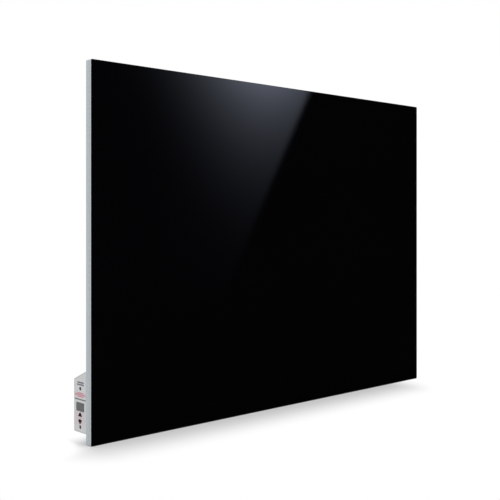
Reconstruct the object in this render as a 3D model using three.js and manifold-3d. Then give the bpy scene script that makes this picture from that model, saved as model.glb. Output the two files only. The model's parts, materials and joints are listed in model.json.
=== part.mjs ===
// Infrared panel heater: a black glass front bonded to a shallow pale-grey steel tray, a heating
// cable and mat between them, wall brackets on the back, and a thermostat box with a display and
// two push buttons behind the lower left corner.
//
// Millimetres, +Z up, +X to the right as the glass is seen. The glass faces -Y. The origin is at
// the middle of the overall footprint, level with the panel's bottom edge. Inside the heater
// group y is the distance behind the glass face, and inside the thermostat group x is the
// distance inward from the fascia, y from the casing's back and z up from the box's bottom.
import * as THREE from "three";
import { mergeVertices } from "three/addons/utils/BufferGeometryUtils.js";
import Module from "manifold-3d";

const wasm = await Module();
wasm.setup();

// ---- Driving dimensions ------------------------------------------------------------------

// Panel
const panel_width = 700;
const panel_height = 500;
const glass_thickness = 4;
const glass_corner = 2;
const glass_arris = 0.5;
const seal_thickness = 0.5;
const seal_width = 8;
const seal_setback = 0.75;
const casing_depth = 7.5;
const casing_corner = 2;
const casing_sheet = 0.75;
const casing_lip = 12;
const wall_standoff = 31.5;

// Stiffening beads pressed into the casing's back
const bead_count = 3;
const bead_pitch = 90;
const bead_length = 540;
const bead_half_width = 7;
const bead_height = 2;
const bead_draft = 1.5;
const bead_sides = 16;

// Heating laminate
const spreader_thickness = 0.3;
const spreader_margin = 2;
const laminate_corner = 2;
const cable_radius = 1.1;
const cable_runs = 14;
const cable_margin_z = 38;
const cable_margin_x = 32;
const return_margin_x = 20;
const cable_start_past_box = 39;
const mat_margin = 1;
const mat_window_side = 12;
const mat_window_end = 4;
const mat_window_below = 14;
const mat_window_above = 22;
const mat_window_corner = 3;

// Wiring
const lead_radius = 1.1;
const lead_bend = 2;
const lead_pitch = 2.6;
const board_lead_radius = 0.8;
const sleeve_radius = 1.5;
const sleeve_length = 15;
const cutout_length = 17;
const cutout_width = 9;
const cutout_height = 4.5;
const cutout_corner = 1;
const cutout_arris = 0.4;
const cutout_before_box_end = 4;
const link_reach = 8;
const dip_run = 10;
const dip_clear = 6;
const stud_radius = 2;
const stud_flange_radius = 4;
const stud_flange = 0.7;
const stud_proud = 0.5;
const stud_nut_radius = 3.8;
const stud_nut_height = 1.8;
const tag_radius = 4;
const tag_thickness = 0.8;
const tag_tail = 3;
const tag_tail_width = 2.4;

// Wall brackets
const bracket_sheet = 1.5;
const bracket_web = 40;
const bracket_foot = 16;
const bracket_bend = 2.25;
const bracket_margin = 150;
const hanger_height = 64;
const hanger_top_margin = 48;
const spacer_height = 40;
const spacer_bottom_margin = 60;
const keyhole_entry_radius = 5.5;
const keyhole_slot_width = 6;
const keyhole_rise = 15;
const bumper_radius = 9;
const bumper_head = 2.5;
const bumper_edge = 0.6;
const bumper_stem_radius = 3;
const bumper_barb = 1;
const bumper_tail = 4;
const bumper_tail_taper = 0.8;

// Screws that hold brackets and thermostat box
const screw_radius = 2;
const screw_head_radius = 3.6;
const screw_head_height = 2.2;
const pan_side = 0.45; // share of a pan head's height that is its straight side
const pan_shoulder = 0.88; // share of its height at the shoulder of its crown
const pan_crown = 0.78; // share of its radius at that shoulder

// Thermostat box
const box_length = 70;
const box_depth = 30;
const box_rise_front = 82.5;
const box_rise_rear = 69;
const box_bottom = 13.5;
const box_setback = 1;
const box_corner = 2;
const box_wall = 2;
const box_edge = 0.4;
const foot_reach = 14;
const foot_thickness = 2.5;
const foot_bottom = 3;
const foot_top = 66;
const foot_screw_inset = 5.5;
const foot_corner = 3;
const ear_width = 14;
const ear_reach = 13;
const ear_from_fascia = 20;
const vent_count = 4;
const vent_width = 1.6;
const vent_length = 14;
const vent_pitch = 5;
const vent_from_board = 2;

// Fascia
const fascia_thickness = 2;
const fascia_rim = 1.2;
const fascia_rim_depth = 2;
const tube_wall = 0.9;
const label_thickness = 0.25;
const label_margin = 0.8;
const display_width = 18.8;
const display_height = 10.8;
const display_level = 28;
const display_corner = 0.5;
const lens_flange_thickness = 1;
const key_width = 8.2;
const key_height = 5.3;
const key_round = 0.5;
const key_arris = 0.2;
const key_gap = 4.8;
const key_level = 16.5;
const key_proud = 0.9;
const key_travel = 0.8;
const key_flange = 1.1;
const key_flange_thickness = 1;
const key_stem_radius = 1.7;
const key_stem_length = 1.6;
const fascia_screw_low = 7.1;
const fascia_screw_high = 57.4;
const fascia_screw_radius = 1.1;
const fascia_screw_length = 12;
const pilot_extra = 2;
const fascia_head_radius = 2.2;
const fascia_head_height = 1.4;

// Control electronics
const board_thickness = 1.6;
const board_top = 62;
const board_corner = 1;
const component_arris = 0.6;
const small_arris = 0.3;
const switch_size = 6;
const switch_body = 3.5;
const plunger_radius = 1.6;
const plunger_length = 2.2;
const plunger_proud = 1.1;
const plunger_arris = 0.15;
const relay_size = new THREE.Vector3(15.5, 15, 19);
const relay_level = 33;
const capacitor_size = new THREE.Vector3(13, 18, 8.5);
const capacitor_level = 20;
const sensor_radius = 1.4;
const sensor_leg_radius = 0.3;
const sensor_leg_length = 3;
const sensor_leg_pitch = 1.2;
const sensor_inset = 4;
const post_radius = 3.5;
const post_tip_radius = 2.5;
const post_web = 2;
const terminal_size = new THREE.Vector3(14, 22, 12);
const terminal_level = 35.5;
const terminal_pole_pitch = 7.3;
const terminal_hole_radius = 1.7;
const terminal_hole_depth = 5;
const terminal_screw_depth = 3;
const terminal_groove_width = 1;
const terminal_groove_depth = 1.5;
const terminal_grip = 3;
const terminal_back_gap = 2;
const shelf_thickness = 2;
const shelf_lip = 1;
const board_lead_level = 50;
const board_lead_reach = 20;
const board_lead_end_rise = 2;

// Cord gland and lead grommet
const gland_level = 22;
const gland_bore_radius = 4.2;
const gland_thread_radius = 6.3;
const gland_hex_radius = 9.2;
const gland_hex_height = 4;
const gland_cap_length = 7;
const gland_cap_inset = 1.2;
const gland_cap_chamfer = 1.6;
const gland_cap_chamfer_length = 2.5;
const gland_inside = 8;
const gland_nut_height = 3;
const grommet_bore_radius = 4;
const grommet_neck_radius = 5.2;
const grommet_flange_radius = 6.8;
const grommet_flange = 1;
const grommet_from_fascia = 40;

// Clearances
const seat_gap = 0.25; // between bonded or stacked layers
const hole_gap = 0.25; // round a screw, stem or neck in its hole
const slide_gap = 0.3; // round a key in its aperture and a lens in its opening
const rest_gap = 0.1; // between a key's flange or stem and what it rests on
const end_gap = 0.3; // between a wire's end and what it joins
const board_gap = 0.6; // round the board inside the box
const bite = 0.5; // how far two solids that are one moulding run into each other
const past = 1; // how far a cutting tool runs past a face

// ---- Levels worked out from them ---------------------------------------------------------

const glass_back = glass_thickness;
const seal_front = glass_back + seat_gap;
const seal_back = seal_front + seal_thickness;
const casing_front = seal_back + seat_gap;
const casing_back = casing_front + casing_depth;
const casing_floor = casing_back - casing_sheet;
const wall_plane = casing_back + wall_standoff;
const spreader_front = glass_back + seat_gap;
const spreader_back = spreader_front + spreader_thickness;
const cable_front = spreader_back + seat_gap;
const cable_axis = cable_front + cable_radius;
const mat_front = cable_axis + cable_radius + seat_gap;
const mat_back = casing_floor - seat_gap;
const lead_axis = casing_floor - grommet_flange - 2 * seat_gap - lead_radius;
const sleeve_axis = cable_front + sleeve_radius;
const panel_left = -panel_width / 2;
const panel_right = panel_width / 2;

const box_left = panel_left + box_setback;
const box_front = casing_back + seat_gap;
const box_middle = box_depth / 2;
const box_slope = (box_rise_front - box_rise_rear) / box_depth;
const plunger_front = fascia_thickness + key_flange_thickness + key_stem_length + 2 * rest_gap;
const switch_front = plunger_front + plunger_proud;
const board_front = switch_front + switch_body;
const board_back = board_front + board_thickness;
const key_up_level = key_level + key_gap;
const fascia_rim_inset = box_wall + slide_gap;
const terminal_back = box_length - box_wall - terminal_back_gap;
const terminal_front = terminal_back - terminal_size.x;
const terminal_axis_level = terminal_level + terminal_size.z / 2;
const grommet_x = box_left + grommet_from_fascia;
const grommet_z = box_bottom + terminal_axis_level;

// ---- Geometry helpers --------------------------------------------------------------------

const at = (x, y, z = 0) => new THREE.Vector3(x, y, z);

// A closed three.js geometry as a solid that can be joined and cut.
function solidOf(geometry) {
  const bare = geometry.index ? geometry.toNonIndexed() : geometry;
  bare.deleteAttribute("normal");
  bare.deleteAttribute("uv");
  const merged = mergeVertices(bare, 1e-4);
  const mesh = new wasm.Mesh({
    numProp: 3,
    vertProperties: merged.attributes.position.array,
    triVerts: new Uint32Array(merged.index.array),
  });
  return new wasm.Manifold(mesh);
}

const join = (first, ...others) => others.reduce((whole, other) => whole.add(other), first);
const cut = (first, ...tools) => tools.reduce((rest, tool) => rest.subtract(tool), first);

// A solid's surface as a flat-shaded three.js geometry.
function geometryOf(solid) {
  const mesh = solid.getMesh();
  const geometry = new THREE.BufferGeometry();
  geometry.setAttribute("position", new THREE.BufferAttribute(mesh.vertProperties, 3));
  geometry.setIndex(new THREE.BufferAttribute(mesh.triVerts, 1));
  const flat = geometry.toNonIndexed();
  flat.computeVertexNormals();
  return flat;
}

// Replaces each corner of a line of points by an arc. Radii is one number, or one per point.
function roundCorners(points, radii, closed, steps = 4) {
  const knots = [];
  const push = (point) => {
    if (!knots.length || knots.at(-1).distanceTo(point) > 1e-4) knots.push(point);
  };
  points.forEach((corner, i) => {
    const radius = Array.isArray(radii) ? radii[i] : radii;
    const atEnd = !closed && (i === 0 || i === points.length - 1);
    if (atEnd || radius === 0) {
      push(corner.clone());
      return;
    }
    const before = points[(i + points.length - 1) % points.length].clone().sub(corner).normalize();
    const after = points[(i + 1) % points.length].clone().sub(corner).normalize();
    const half = before.angleTo(after) / 2;
    if (half > Math.PI / 2 - 1e-4) {
      push(corner.clone());
      return;
    }
    const middle = before.clone().add(after).normalize().multiplyScalar(radius / Math.sin(half));
    const centre = corner.clone().add(middle);
    const start = before.multiplyScalar(radius / Math.tan(half)).sub(middle);
    const end = after.multiplyScalar(radius / Math.tan(half)).sub(middle);
    const sweep = Math.PI - 2 * half;
    for (let k = 0; k <= steps; k += 1) {
      const share = (k / steps) * sweep;
      const from = start.clone().multiplyScalar(Math.sin(sweep - share));
      const to = end.clone().multiplyScalar(Math.sin(share));
      push(from.add(to).divideScalar(Math.sin(sweep)).add(centre));
    }
  });
  if (closed && knots[0].distanceTo(knots.at(-1)) < 1e-4) knots.pop();
  return knots;
}

const shapeOf = (knots) => new THREE.Shape(knots.map((knot) => new THREE.Vector2(knot.x, knot.y)));
const outline = (points, radii = 0) => shapeOf(roundCorners(points, radii, true));

function rectangle(x0, x1, y0, y1, radius = 0) {
  return outline([at(x0, y0), at(x1, y0), at(x1, y1), at(x0, y1)], radius);
}

// A regular outline whose flats, not corners, lie on the given radius: a hole keeps its size.
function ring(radius, x, y, sides = 16, turn = Math.PI / sides) {
  const reach = radius / Math.cos(Math.PI / sides);
  const spoke = (i) => (2 * Math.PI * i) / sides + turn;
  const corner = (_, i) => at(x + reach * Math.cos(spoke(i)), y + reach * Math.sin(spoke(i)));
  return shapeOf(Array.from({ length: sides }, corner));
}

// The same with its corners on the radius: a pin or disc stays inside its size.
function disc(radius, x, y, sides = 16, turn = Math.PI / sides) {
  return ring(radius * Math.cos(Math.PI / sides), x, y, sides, turn);
}

const X = at(1, 0, 0);
const Y = at(0, 1, 0);
const Z = at(0, 0, 1);
// How an outline drawn on paper lies across each axis: (y, z) for x, (x, z) for y, (x, y) for z.
const lay = {
  x: new THREE.Matrix4().makeBasis(Y, Z, X),
  y: new THREE.Matrix4().makeBasis(X, Z, Y.clone().negate()),
  z: new THREE.Matrix4(),
};

// An outline run along an axis between two places, with an arris ground off both rims.
function prism(shape, axis, from, to, arris = 0) {
  const bevel = {
    bevelThickness: arris,
    bevelSize: arris,
    bevelOffset: -arris,
    bevelSegments: 1,
  };
  const geometry = new THREE.ExtrudeGeometry(shape, {
    depth: to - from - 2 * arris,
    bevelEnabled: arris > 0,
    ...bevel,
  });
  geometry.translate(0, 0, arris);
  geometry.applyMatrix4(lay[axis]);
  // Laid across y the outline runs backwards, so it starts from the far place.
  const start = { x: [from, 0, 0], y: [0, to, 0], z: [0, 0, from] }[axis];
  geometry.translate(...start);
  return solidOf(geometry);
}

function slab(x0, x1, y0, y1, z0, z1, arris = 0) {
  return prism(rectangle(x0, x1, y0, y1), "z", z0, z1, arris);
}

// A profile of (radius, height) points turned about a line through a place, along a direction.
function turned(profile, direction, place, sides = 16) {
  const points = profile.map(([radius, height]) => new THREE.Vector2(radius, height));
  const geometry = new THREE.LatheGeometry(points, sides);
  geometry.applyQuaternion(new THREE.Quaternion().setFromUnitVectors(Y, direction));
  geometry.translate(place.x, place.y, place.z);
  return solidOf(geometry);
}

// A path that has its steps only where it bends.
class KnotPath extends THREE.Curve {
  constructor(knots) {
    super();
    this.knots = knots;
  }
  getPointAt(share, target = at(0, 0, 0)) {
    return target.copy(this.knots[Math.round(share * (this.knots.length - 1))]);
  }
  getTangentAt(share, target = at(0, 0, 0)) {
    const i = Math.round(share * (this.knots.length - 1));
    const from = this.knots[Math.max(i - 1, 0)];
    const to = this.knots[Math.min(i + 1, this.knots.length - 1)];
    return target.copy(to).sub(from).normalize();
  }
}

// A round wire along a line of points, with every corner bent to the same radius.
function wire(points, radius, bend, sides = 8) {
  const knots = roundCorners(points, bend, false);
  return solidOf(
    new THREE.ExtrudeGeometry(disc(radius, 0, 0, sides), {
      steps: knots.length - 1,
      extrudePath: new KnotPath(knots),
    }),
  );
}

// A folded strip of sheet, seen on edge, whose middle line runs through the points.
function foldedStrip(points, thickness, bend) {
  const knots = roundCorners(points, bend, false);
  const offset = (side) => (knot, i) => {
    const before = knot.clone().sub(knots[Math.max(i - 1, 0)]).normalize();
    const after = knots[Math.min(i + 1, knots.length - 1)].clone().sub(knot).normalize();
    const along = before.add(after).normalize();
    const across = at(-along.y, along.x).multiplyScalar((side * thickness) / 2);
    return knot.clone().add(across);
  };
  return shapeOf([...knots.map(offset(-1)), ...knots.map(offset(1)).reverse()]);
}

// ---- Finishes and assembly ---------------------------------------------------------------

const finishes = {
  black_glass: { color: 0x050507, roughness: 0.05, metalness: 0 },
  painted_steel: { color: 0xb4bcbf, roughness: 0.45, metalness: 0.1 },
  moulded_box: { color: 0xcfcfd0, roughness: 0.5, metalness: 0 },
  printed_film: { color: 0xd8d8da, roughness: 0.45, metalness: 0 },
  display_lens: { color: 0x5d5d60, roughness: 0.15, metalness: 0 },
  display_glass: { color: 0x70756c, roughness: 0.3, metalness: 0 },
  black_plastic: { color: 0x111113, roughness: 0.4, metalness: 0 },
  dark_screw: { color: 0x2b2b2e, roughness: 0.4, metalness: 0.8 },
  zinc_screw: { color: 0xb8babd, roughness: 0.35, metalness: 0.9 },
  silicone: { color: 0xb9bdbf, roughness: 0.7, metalness: 0 },
  rubber: { color: 0x1d1d1f, roughness: 0.85, metalness: 0 },
  foil: { color: 0xd4d6d8, roughness: 0.3, metalness: 1 },
  cable_jacket: { color: 0x8c2f26, roughness: 0.7, metalness: 0 },
  mineral_mat: { color: 0xe3ddcc, roughness: 0.95, metalness: 0 },
  circuit_board: { color: 0x1f5b3a, roughness: 0.5, metalness: 0 },
  blue_plastic: { color: 0x2a55a5, roughness: 0.45, metalness: 0 },
  white_plastic: { color: 0xe9e9e6, roughness: 0.5, metalness: 0 },
  brown_wire: { color: 0x5a3622, roughness: 0.6, metalness: 0 },
  blue_wire: { color: 0x2d5fae, roughness: 0.6, metalness: 0 },
  green_wire: { color: 0x4f9a3c, roughness: 0.6, metalness: 0 },
  brass: { color: 0xb79a55, roughness: 0.35, metalness: 1 },
};

const heater = new THREE.Group();
heater.position.set(0, -wall_plane / 2, 0);
const thermostat = new THREE.Group();
thermostat.position.set(box_left, box_front, box_bottom);
heater.add(thermostat);

function addPart(group, name, solid, finish) {
  const mesh = new THREE.Mesh(geometryOf(solid), new THREE.MeshStandardMaterial(finishes[finish]));
  mesh.name = name;
  group.add(mesh);
}

// ---- Glass front and its bond ------------------------------------------------------------

function panelOutline(inset, corner) {
  return rectangle(panel_left + inset, panel_right - inset, inset, panel_height - inset, corner);
}

function frontGlass() {
  return prism(panelOutline(0, glass_corner), "y", 0, glass_thickness, glass_arris);
}

function glassSeal() {
  const outer = prism(panelOutline(seal_setback, glass_corner), "y", seal_front, seal_back);
  const inner = panelOutline(seal_setback + seal_width, glass_corner);
  return cut(outer, prism(inner, "y", seal_front - past, seal_back + past));
}

// ---- Heating laminate --------------------------------------------------------------------

const spreader_inset = casing_lip + spreader_margin;
const cable_pitch = (panel_height - 2 * cable_margin_z) / (cable_runs - 1);
const cable_left = panel_left + cable_margin_x + cable_radius * 2;
const cable_right = panel_right - cable_margin_x;
const return_x = panel_left + return_margin_x;
const cable_start_x = box_left + box_length + cable_start_past_box;
const run_level = (run) => cable_margin_z + run * cable_pitch;
const cutout_x = box_left + box_length - cutout_before_box_end;
const cutout_z = run_level(1.5);
const stud_x = grommet_x;
const stud_z = run_level(2);
const return_end_z = run_level(1.75);

function heatSpreader() {
  return prism(panelOutline(spreader_inset, laminate_corner), "y", spreader_front, spreader_back);
}

// One cable: it starts at the lower left, sweeps the panel in level runs and comes back down
// the left edge, so that both its ends lie beside the lead entry.
function heatingCable() {
  const points = [at(cable_start_x, cable_axis, run_level(0))];
  for (let run = 0; run < cable_runs - 1; run += 1) {
    const turn_x = run % 2 === 0 ? cable_right : cable_left;
    points.push(at(turn_x, cable_axis, run_level(run)));
    points.push(at(turn_x, cable_axis, run_level(run + 1)));
  }
  points.push(at(return_x, cable_axis, run_level(cable_runs - 1)));
  points.push(at(return_x, cable_axis, return_end_z));
  return wire(points, cable_radius, cable_pitch / 2 - 1e-3, 6);
}

// The mat fills the casing behind the cable and leaves a window for the wiring.
const window_left = return_x - mat_window_side;
const window_right = cable_start_x + mat_window_end;
const window_bottom = run_level(0) - mat_window_below;
const window_top = run_level(2) + mat_window_above;

function insulationMat() {
  const whole = panelOutline(casing_sheet + mat_margin, laminate_corner);
  const opening = rectangle(window_left, window_right, window_bottom, window_top, mat_window_corner);
  const tool = prism(opening, "y", mat_front - past, mat_back + past);
  return cut(prism(whole, "y", mat_front, mat_back), tool);
}

// ---- Rear casing -------------------------------------------------------------------------

const hanger_z = panel_height - hanger_top_margin - hanger_height / 2;
const spacer_z = spacer_bottom_margin + spacer_height / 2;
const foot_screw_offset = bracket_web / 2 + bracket_foot / 2;
const bracket_x = panel_right - bracket_margin;
const bracket_places = [
  { side: "left", x: -bracket_x, z: hanger_z, hanger: true },
  { side: "right", x: bracket_x, z: hanger_z, hanger: true },
  { side: "left", x: -bracket_x, z: spacer_z, hanger: false },
  { side: "right", x: bracket_x, z: spacer_z, hanger: false },
];
const bracket_screw_places = bracket_places.flatMap(({ x, z }) => [
  at(x - foot_screw_offset, z),
  at(x + foot_screw_offset, z),
]);
const foot_screw_x = box_length + foot_reach - foot_screw_inset;
const ear_middle = ear_from_fascia + ear_width / 2;
const ear_top = box_rise_front + ear_reach;
// The box's screws, as (x, z) places in the thermostat group.
const box_screw_places = [
  at(foot_screw_x, foot_bottom + foot_screw_inset),
  at(foot_screw_x, foot_top - foot_screw_inset),
  at(ear_middle, ear_top - foot_screw_inset),
];

// A long flat-topped ridge with round ends, standing up from y = from to y = to.
function bead(z, half_width, from, to) {
  const half_top = half_width - bead_draft;
  const half_run = bead_length / 2 - bead_half_width;
  const profile = [
    at(from, z - half_width),
    at(to, z - half_top),
    at(to, z + half_top),
    at(from, z + half_width),
  ];
  const run = prism(outline(profile), "x", -half_run, half_run);
  const end = (x) => {
    const cone = new THREE.CylinderGeometry(half_top, half_width, to - from, bead_sides);
    cone.rotateY(Math.PI / bead_sides);
    cone.translate(x, (from + to) / 2, z);
    return solidOf(cone);
  };
  return join(run, end(-half_run), end(half_run));
}

function rearCasing() {
  const lip_back = casing_front + casing_sheet;
  const inside = panelOutline(casing_sheet, casing_corner - casing_sheet);
  const mouth = panelOutline(casing_lip, casing_corner);
  let tray = cut(
    prism(panelOutline(0, casing_corner), "y", casing_front, casing_back),
    prism(inside, "y", lip_back, casing_floor),
    prism(mouth, "y", casing_front - past, lip_back + past),
  );
  const bead_root = casing_back - casing_sheet / 2;
  for (let i = 0; i < bead_count; i += 1) {
    const z = panel_height / 2 + (i - (bead_count - 1) / 2) * bead_pitch;
    const hollow = bead_half_width - casing_sheet;
    tray = join(tray, bead(z, bead_half_width, bead_root, casing_back + bead_height));
    tray = cut(tray, bead(z, hollow, casing_floor - bite, casing_floor + bead_height));
  }
  const through = (shape) => prism(shape, "y", casing_floor - past, casing_back + past);
  const screw_hole = ({ x, y }) => through(ring(screw_radius + hole_gap, x, y, 8));
  const box_hole = ({ x, y }) => screw_hole(at(box_left + x, box_bottom + y));
  const neck = through(ring(grommet_neck_radius + hole_gap, grommet_x, grommet_z));
  return cut(tray, neck, ...bracket_screw_places.map(screw_hole), ...box_screw_places.map(box_hole));
}

// ---- Brackets, bumpers and their screws --------------------------------------------------

// A hat section: two feet on the casing, two legs and a web against the wall.
function bracket(x, z, height, web_back) {
  const half = bracket_sheet / 2;
  const leg = bracket_web / 2 - half;
  const foot_end = bracket_web / 2 + bracket_foot;
  const low = casing_back + half;
  const high = web_back - half;
  const middle_line = [
    at(x - foot_end, low),
    at(x - leg, low),
    at(x - leg, high),
    at(x + leg, high),
    at(x + leg, low),
    at(x + foot_end, low),
  ];
  const strip = foldedStrip(middle_line, bracket_sheet, bracket_bend);
  const hat = prism(strip, "z", z - height / 2, z + height / 2);
  const foot_hole = (side) => {
    const shape = ring(screw_radius + hole_gap, x + side * foot_screw_offset, z, 8);
    return prism(shape, "y", casing_back - past, casing_back + bracket_sheet + past);
  };
  return cut(hat, foot_hole(-1), foot_hole(1));
}

// The screw head goes in at the round part and the shank rides up into the slot.
const keyhole_entry_drop = keyhole_rise / 2;
function keyhole(x, z) {
  const entry_z = z - keyhole_entry_drop;
  const top_z = z + keyhole_entry_drop;
  const half = keyhole_slot_width / 2;
  const through = (shape) => prism(shape, "y", wall_plane - bracket_sheet - past, wall_plane + past);
  return join(
    through(ring(keyhole_entry_radius, x, entry_z)),
    through(rectangle(x - half, x + half, entry_z, top_z)),
    through(ring(half, x, top_z)),
  );
}

function wallBumper(x, z) {
  const neck = bumper_stem_radius;
  const barb = neck + bumper_barb;
  const web_inner = bracket_sheet + seat_gap;
  const tail_end = -web_inner - bumper_tail;
  const profile = [
    [0, tail_end],
    [neck - bumper_tail_taper, tail_end],
    [barb, -web_inner],
    [neck, -web_inner],
    [neck, 0],
    [bumper_radius, 0],
    [bumper_radius, bumper_head - bumper_edge],
    [bumper_radius - bumper_edge, bumper_head],
    [0, bumper_head],
  ];
  return turned(profile, Y, at(x, wall_plane - bumper_head, z), 24);
}

// A pan-head screw with its seat at the place and its head along the direction.
function panScrew(radius, length, head_radius, head_height, direction, place) {
  const profile = [
    [0, -length],
    [radius, -length],
    [radius, 0],
    [head_radius, 0],
    [head_radius, head_height * pan_side],
    [head_radius * pan_crown, head_height * pan_shoulder],
    [0, head_height],
  ];
  return turned(profile, direction, place, 12);
}

// ---- Wiring in the casing ----------------------------------------------------------------

const terminal_pole = (pole) => box_middle + (pole - 1) * terminal_pole_pitch;

// From its pole in the terminal block to the grommet, and through it into the casing.
function leadStart(pole) {
  const x = grommet_x + (1 - pole) * lead_pitch;
  const y = box_front + terminal_pole(pole);
  const start_x = box_left + terminal_front + terminal_grip;
  return [at(start_x, y, grommet_z), at(x, y, grommet_z), at(x, lead_axis, grommet_z)];
}

function leadLive() {
  const x = grommet_x + lead_pitch;
  const end_x = cutout_x - cutout_length / 2 - end_gap;
  const points = [
    ...leadStart(0),
    at(x, lead_axis, cutout_z),
    at(end_x, lead_axis, cutout_z),
  ];
  return wire(points, lead_radius, lead_bend);
}

const tag_tail_end = stud_z - tag_radius - tag_tail;
function leadEarth() {
  const end_z = tag_tail_end - end_gap;
  const points = [...leadStart(1), at(grommet_x, lead_axis, end_z)];
  return wire(points, lead_radius, lead_bend);
}

const sleeve_neutral_top = return_end_z - end_gap;
const sleeve_neutral_bottom = sleeve_neutral_top - sleeve_length;
function leadNeutral() {
  const end_z = sleeve_neutral_bottom - end_gap;
  const points = [
    ...leadStart(2),
    at(return_x, lead_axis, grommet_z),
    at(return_x, lead_axis, end_z - dip_clear - dip_run),
    at(return_x, sleeve_axis, end_z - dip_clear),
    at(return_x, sleeve_axis, end_z),
  ];
  return wire(points, lead_radius, lead_bend);
}

const sleeve_live_right = cable_start_x - end_gap;
const sleeve_live_left = sleeve_live_right - sleeve_length;
function cutoutLink() {
  const x = sleeve_live_left - end_gap - link_reach;
  const low = run_level(0);
  const points = [
    at(cutout_x + cutout_length / 2 + end_gap, lead_axis, cutout_z),
    at(x, lead_axis, cutout_z),
    at(x, lead_axis, low + dip_clear + dip_run),
    at(x, sleeve_axis, low + dip_clear),
    at(x, sleeve_axis, low),
    at(sleeve_live_left - end_gap, sleeve_axis, low),
  ];
  return wire(points, lead_radius, lead_bend);
}

function thermalCutout() {
  const half_length = cutout_length / 2;
  const half_width = cutout_width / 2;
  const shape = rectangle(
    cutout_x - half_length,
    cutout_x + half_length,
    cutout_z - half_width,
    cutout_z + half_width,
    cutout_corner,
  );
  const front = spreader_back + seat_gap;
  return prism(shape, "y", front, front + cutout_height, cutout_arris);
}

// The stud stands on the casing's floor and points at the glass. The tag and its nut sit on it.
const tag_level = stud_flange + seat_gap;
const nut_level = tag_level + tag_thickness;
function earthStud() {
  const length = nut_level + stud_nut_height + stud_proud;
  const profile = [
    [0, 0],
    [stud_flange_radius, 0],
    [stud_flange_radius, stud_flange],
    [stud_radius, stud_flange],
    [stud_radius, length],
    [0, length],
  ];
  return turned(profile, Y.clone().negate(), at(stud_x, casing_floor, stud_z), 12);
}

function earthTag() {
  const front = casing_floor - tag_level - tag_thickness;
  const back = casing_floor - tag_level;
  const eye = prism(disc(tag_radius, stud_x, stud_z), "y", front, back);
  const half = tag_tail_width / 2;
  const tail = slab(stud_x - half, stud_x + half, front, back, tag_tail_end, stud_z);
  const hole = ring(stud_radius + hole_gap, stud_x, stud_z, 12);
  return cut(join(eye, tail), prism(hole, "y", front - past, back + past));
}

function earthNut() {
  const back = casing_floor - nut_level;
  const front = back - stud_nut_height;
  const hex = prism(disc(stud_nut_radius, stud_x, stud_z, 6), "y", front, back);
  const bore = ring(stud_radius + hole_gap, stud_x, stud_z, 12);
  return cut(hex, prism(bore, "y", front - past, back + past));
}

function leadGrommet() {
  const inner_face = casing_floor - seat_gap;
  const outer_face = box_front + box_wall + seat_gap;
  const profile = [
    [grommet_bore_radius, inner_face - grommet_flange],
    [grommet_flange_radius, inner_face - grommet_flange],
    [grommet_flange_radius, inner_face],
    [grommet_neck_radius, inner_face],
    [grommet_neck_radius, outer_face],
    [grommet_flange_radius, outer_face],
    [grommet_flange_radius, outer_face + grommet_flange],
    [grommet_bore_radius, outer_face + grommet_flange],
    [grommet_bore_radius, inner_face - grommet_flange],
  ];
  return turned(profile, Y, at(grommet_x, 0, grommet_z), 16);
}

// ---- Thermostat box ----------------------------------------------------------------------

// The side of the box, inset all round: flat against the casing, with its top sloping down
// towards the wall.
function sideOutline(inset) {
  const top = (y) => box_rise_front - box_slope * y - inset * Math.hypot(1, box_slope);
  const back = box_depth - inset;
  const corner = Math.max(box_corner - inset, box_edge);
  const corners = [at(inset, inset), at(back, inset), at(back, top(back)), at(inset, top(inset))];
  return outline(corners, [box_edge, corner, corner, box_edge]);
}

// A screw post: it carries the board on its shoulder, and a web ties it to the nearest wall.
function post(level, web_end) {
  const shoulder = board_back + rest_gap;
  const end = box_length - box_wall / 2;
  const tip = prism(disc(post_tip_radius, box_middle, level), "x", fascia_thickness, shoulder + bite);
  const shaft = prism(disc(post_radius, box_middle, level), "x", shoulder, end);
  const web_low = Math.min(level, web_end);
  const web_high = Math.max(level, web_end);
  const half = post_web / 2;
  const web = slab(shoulder, end, box_middle - half, box_middle + half, web_low, web_high);
  return join(tip, shaft, web);
}

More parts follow.
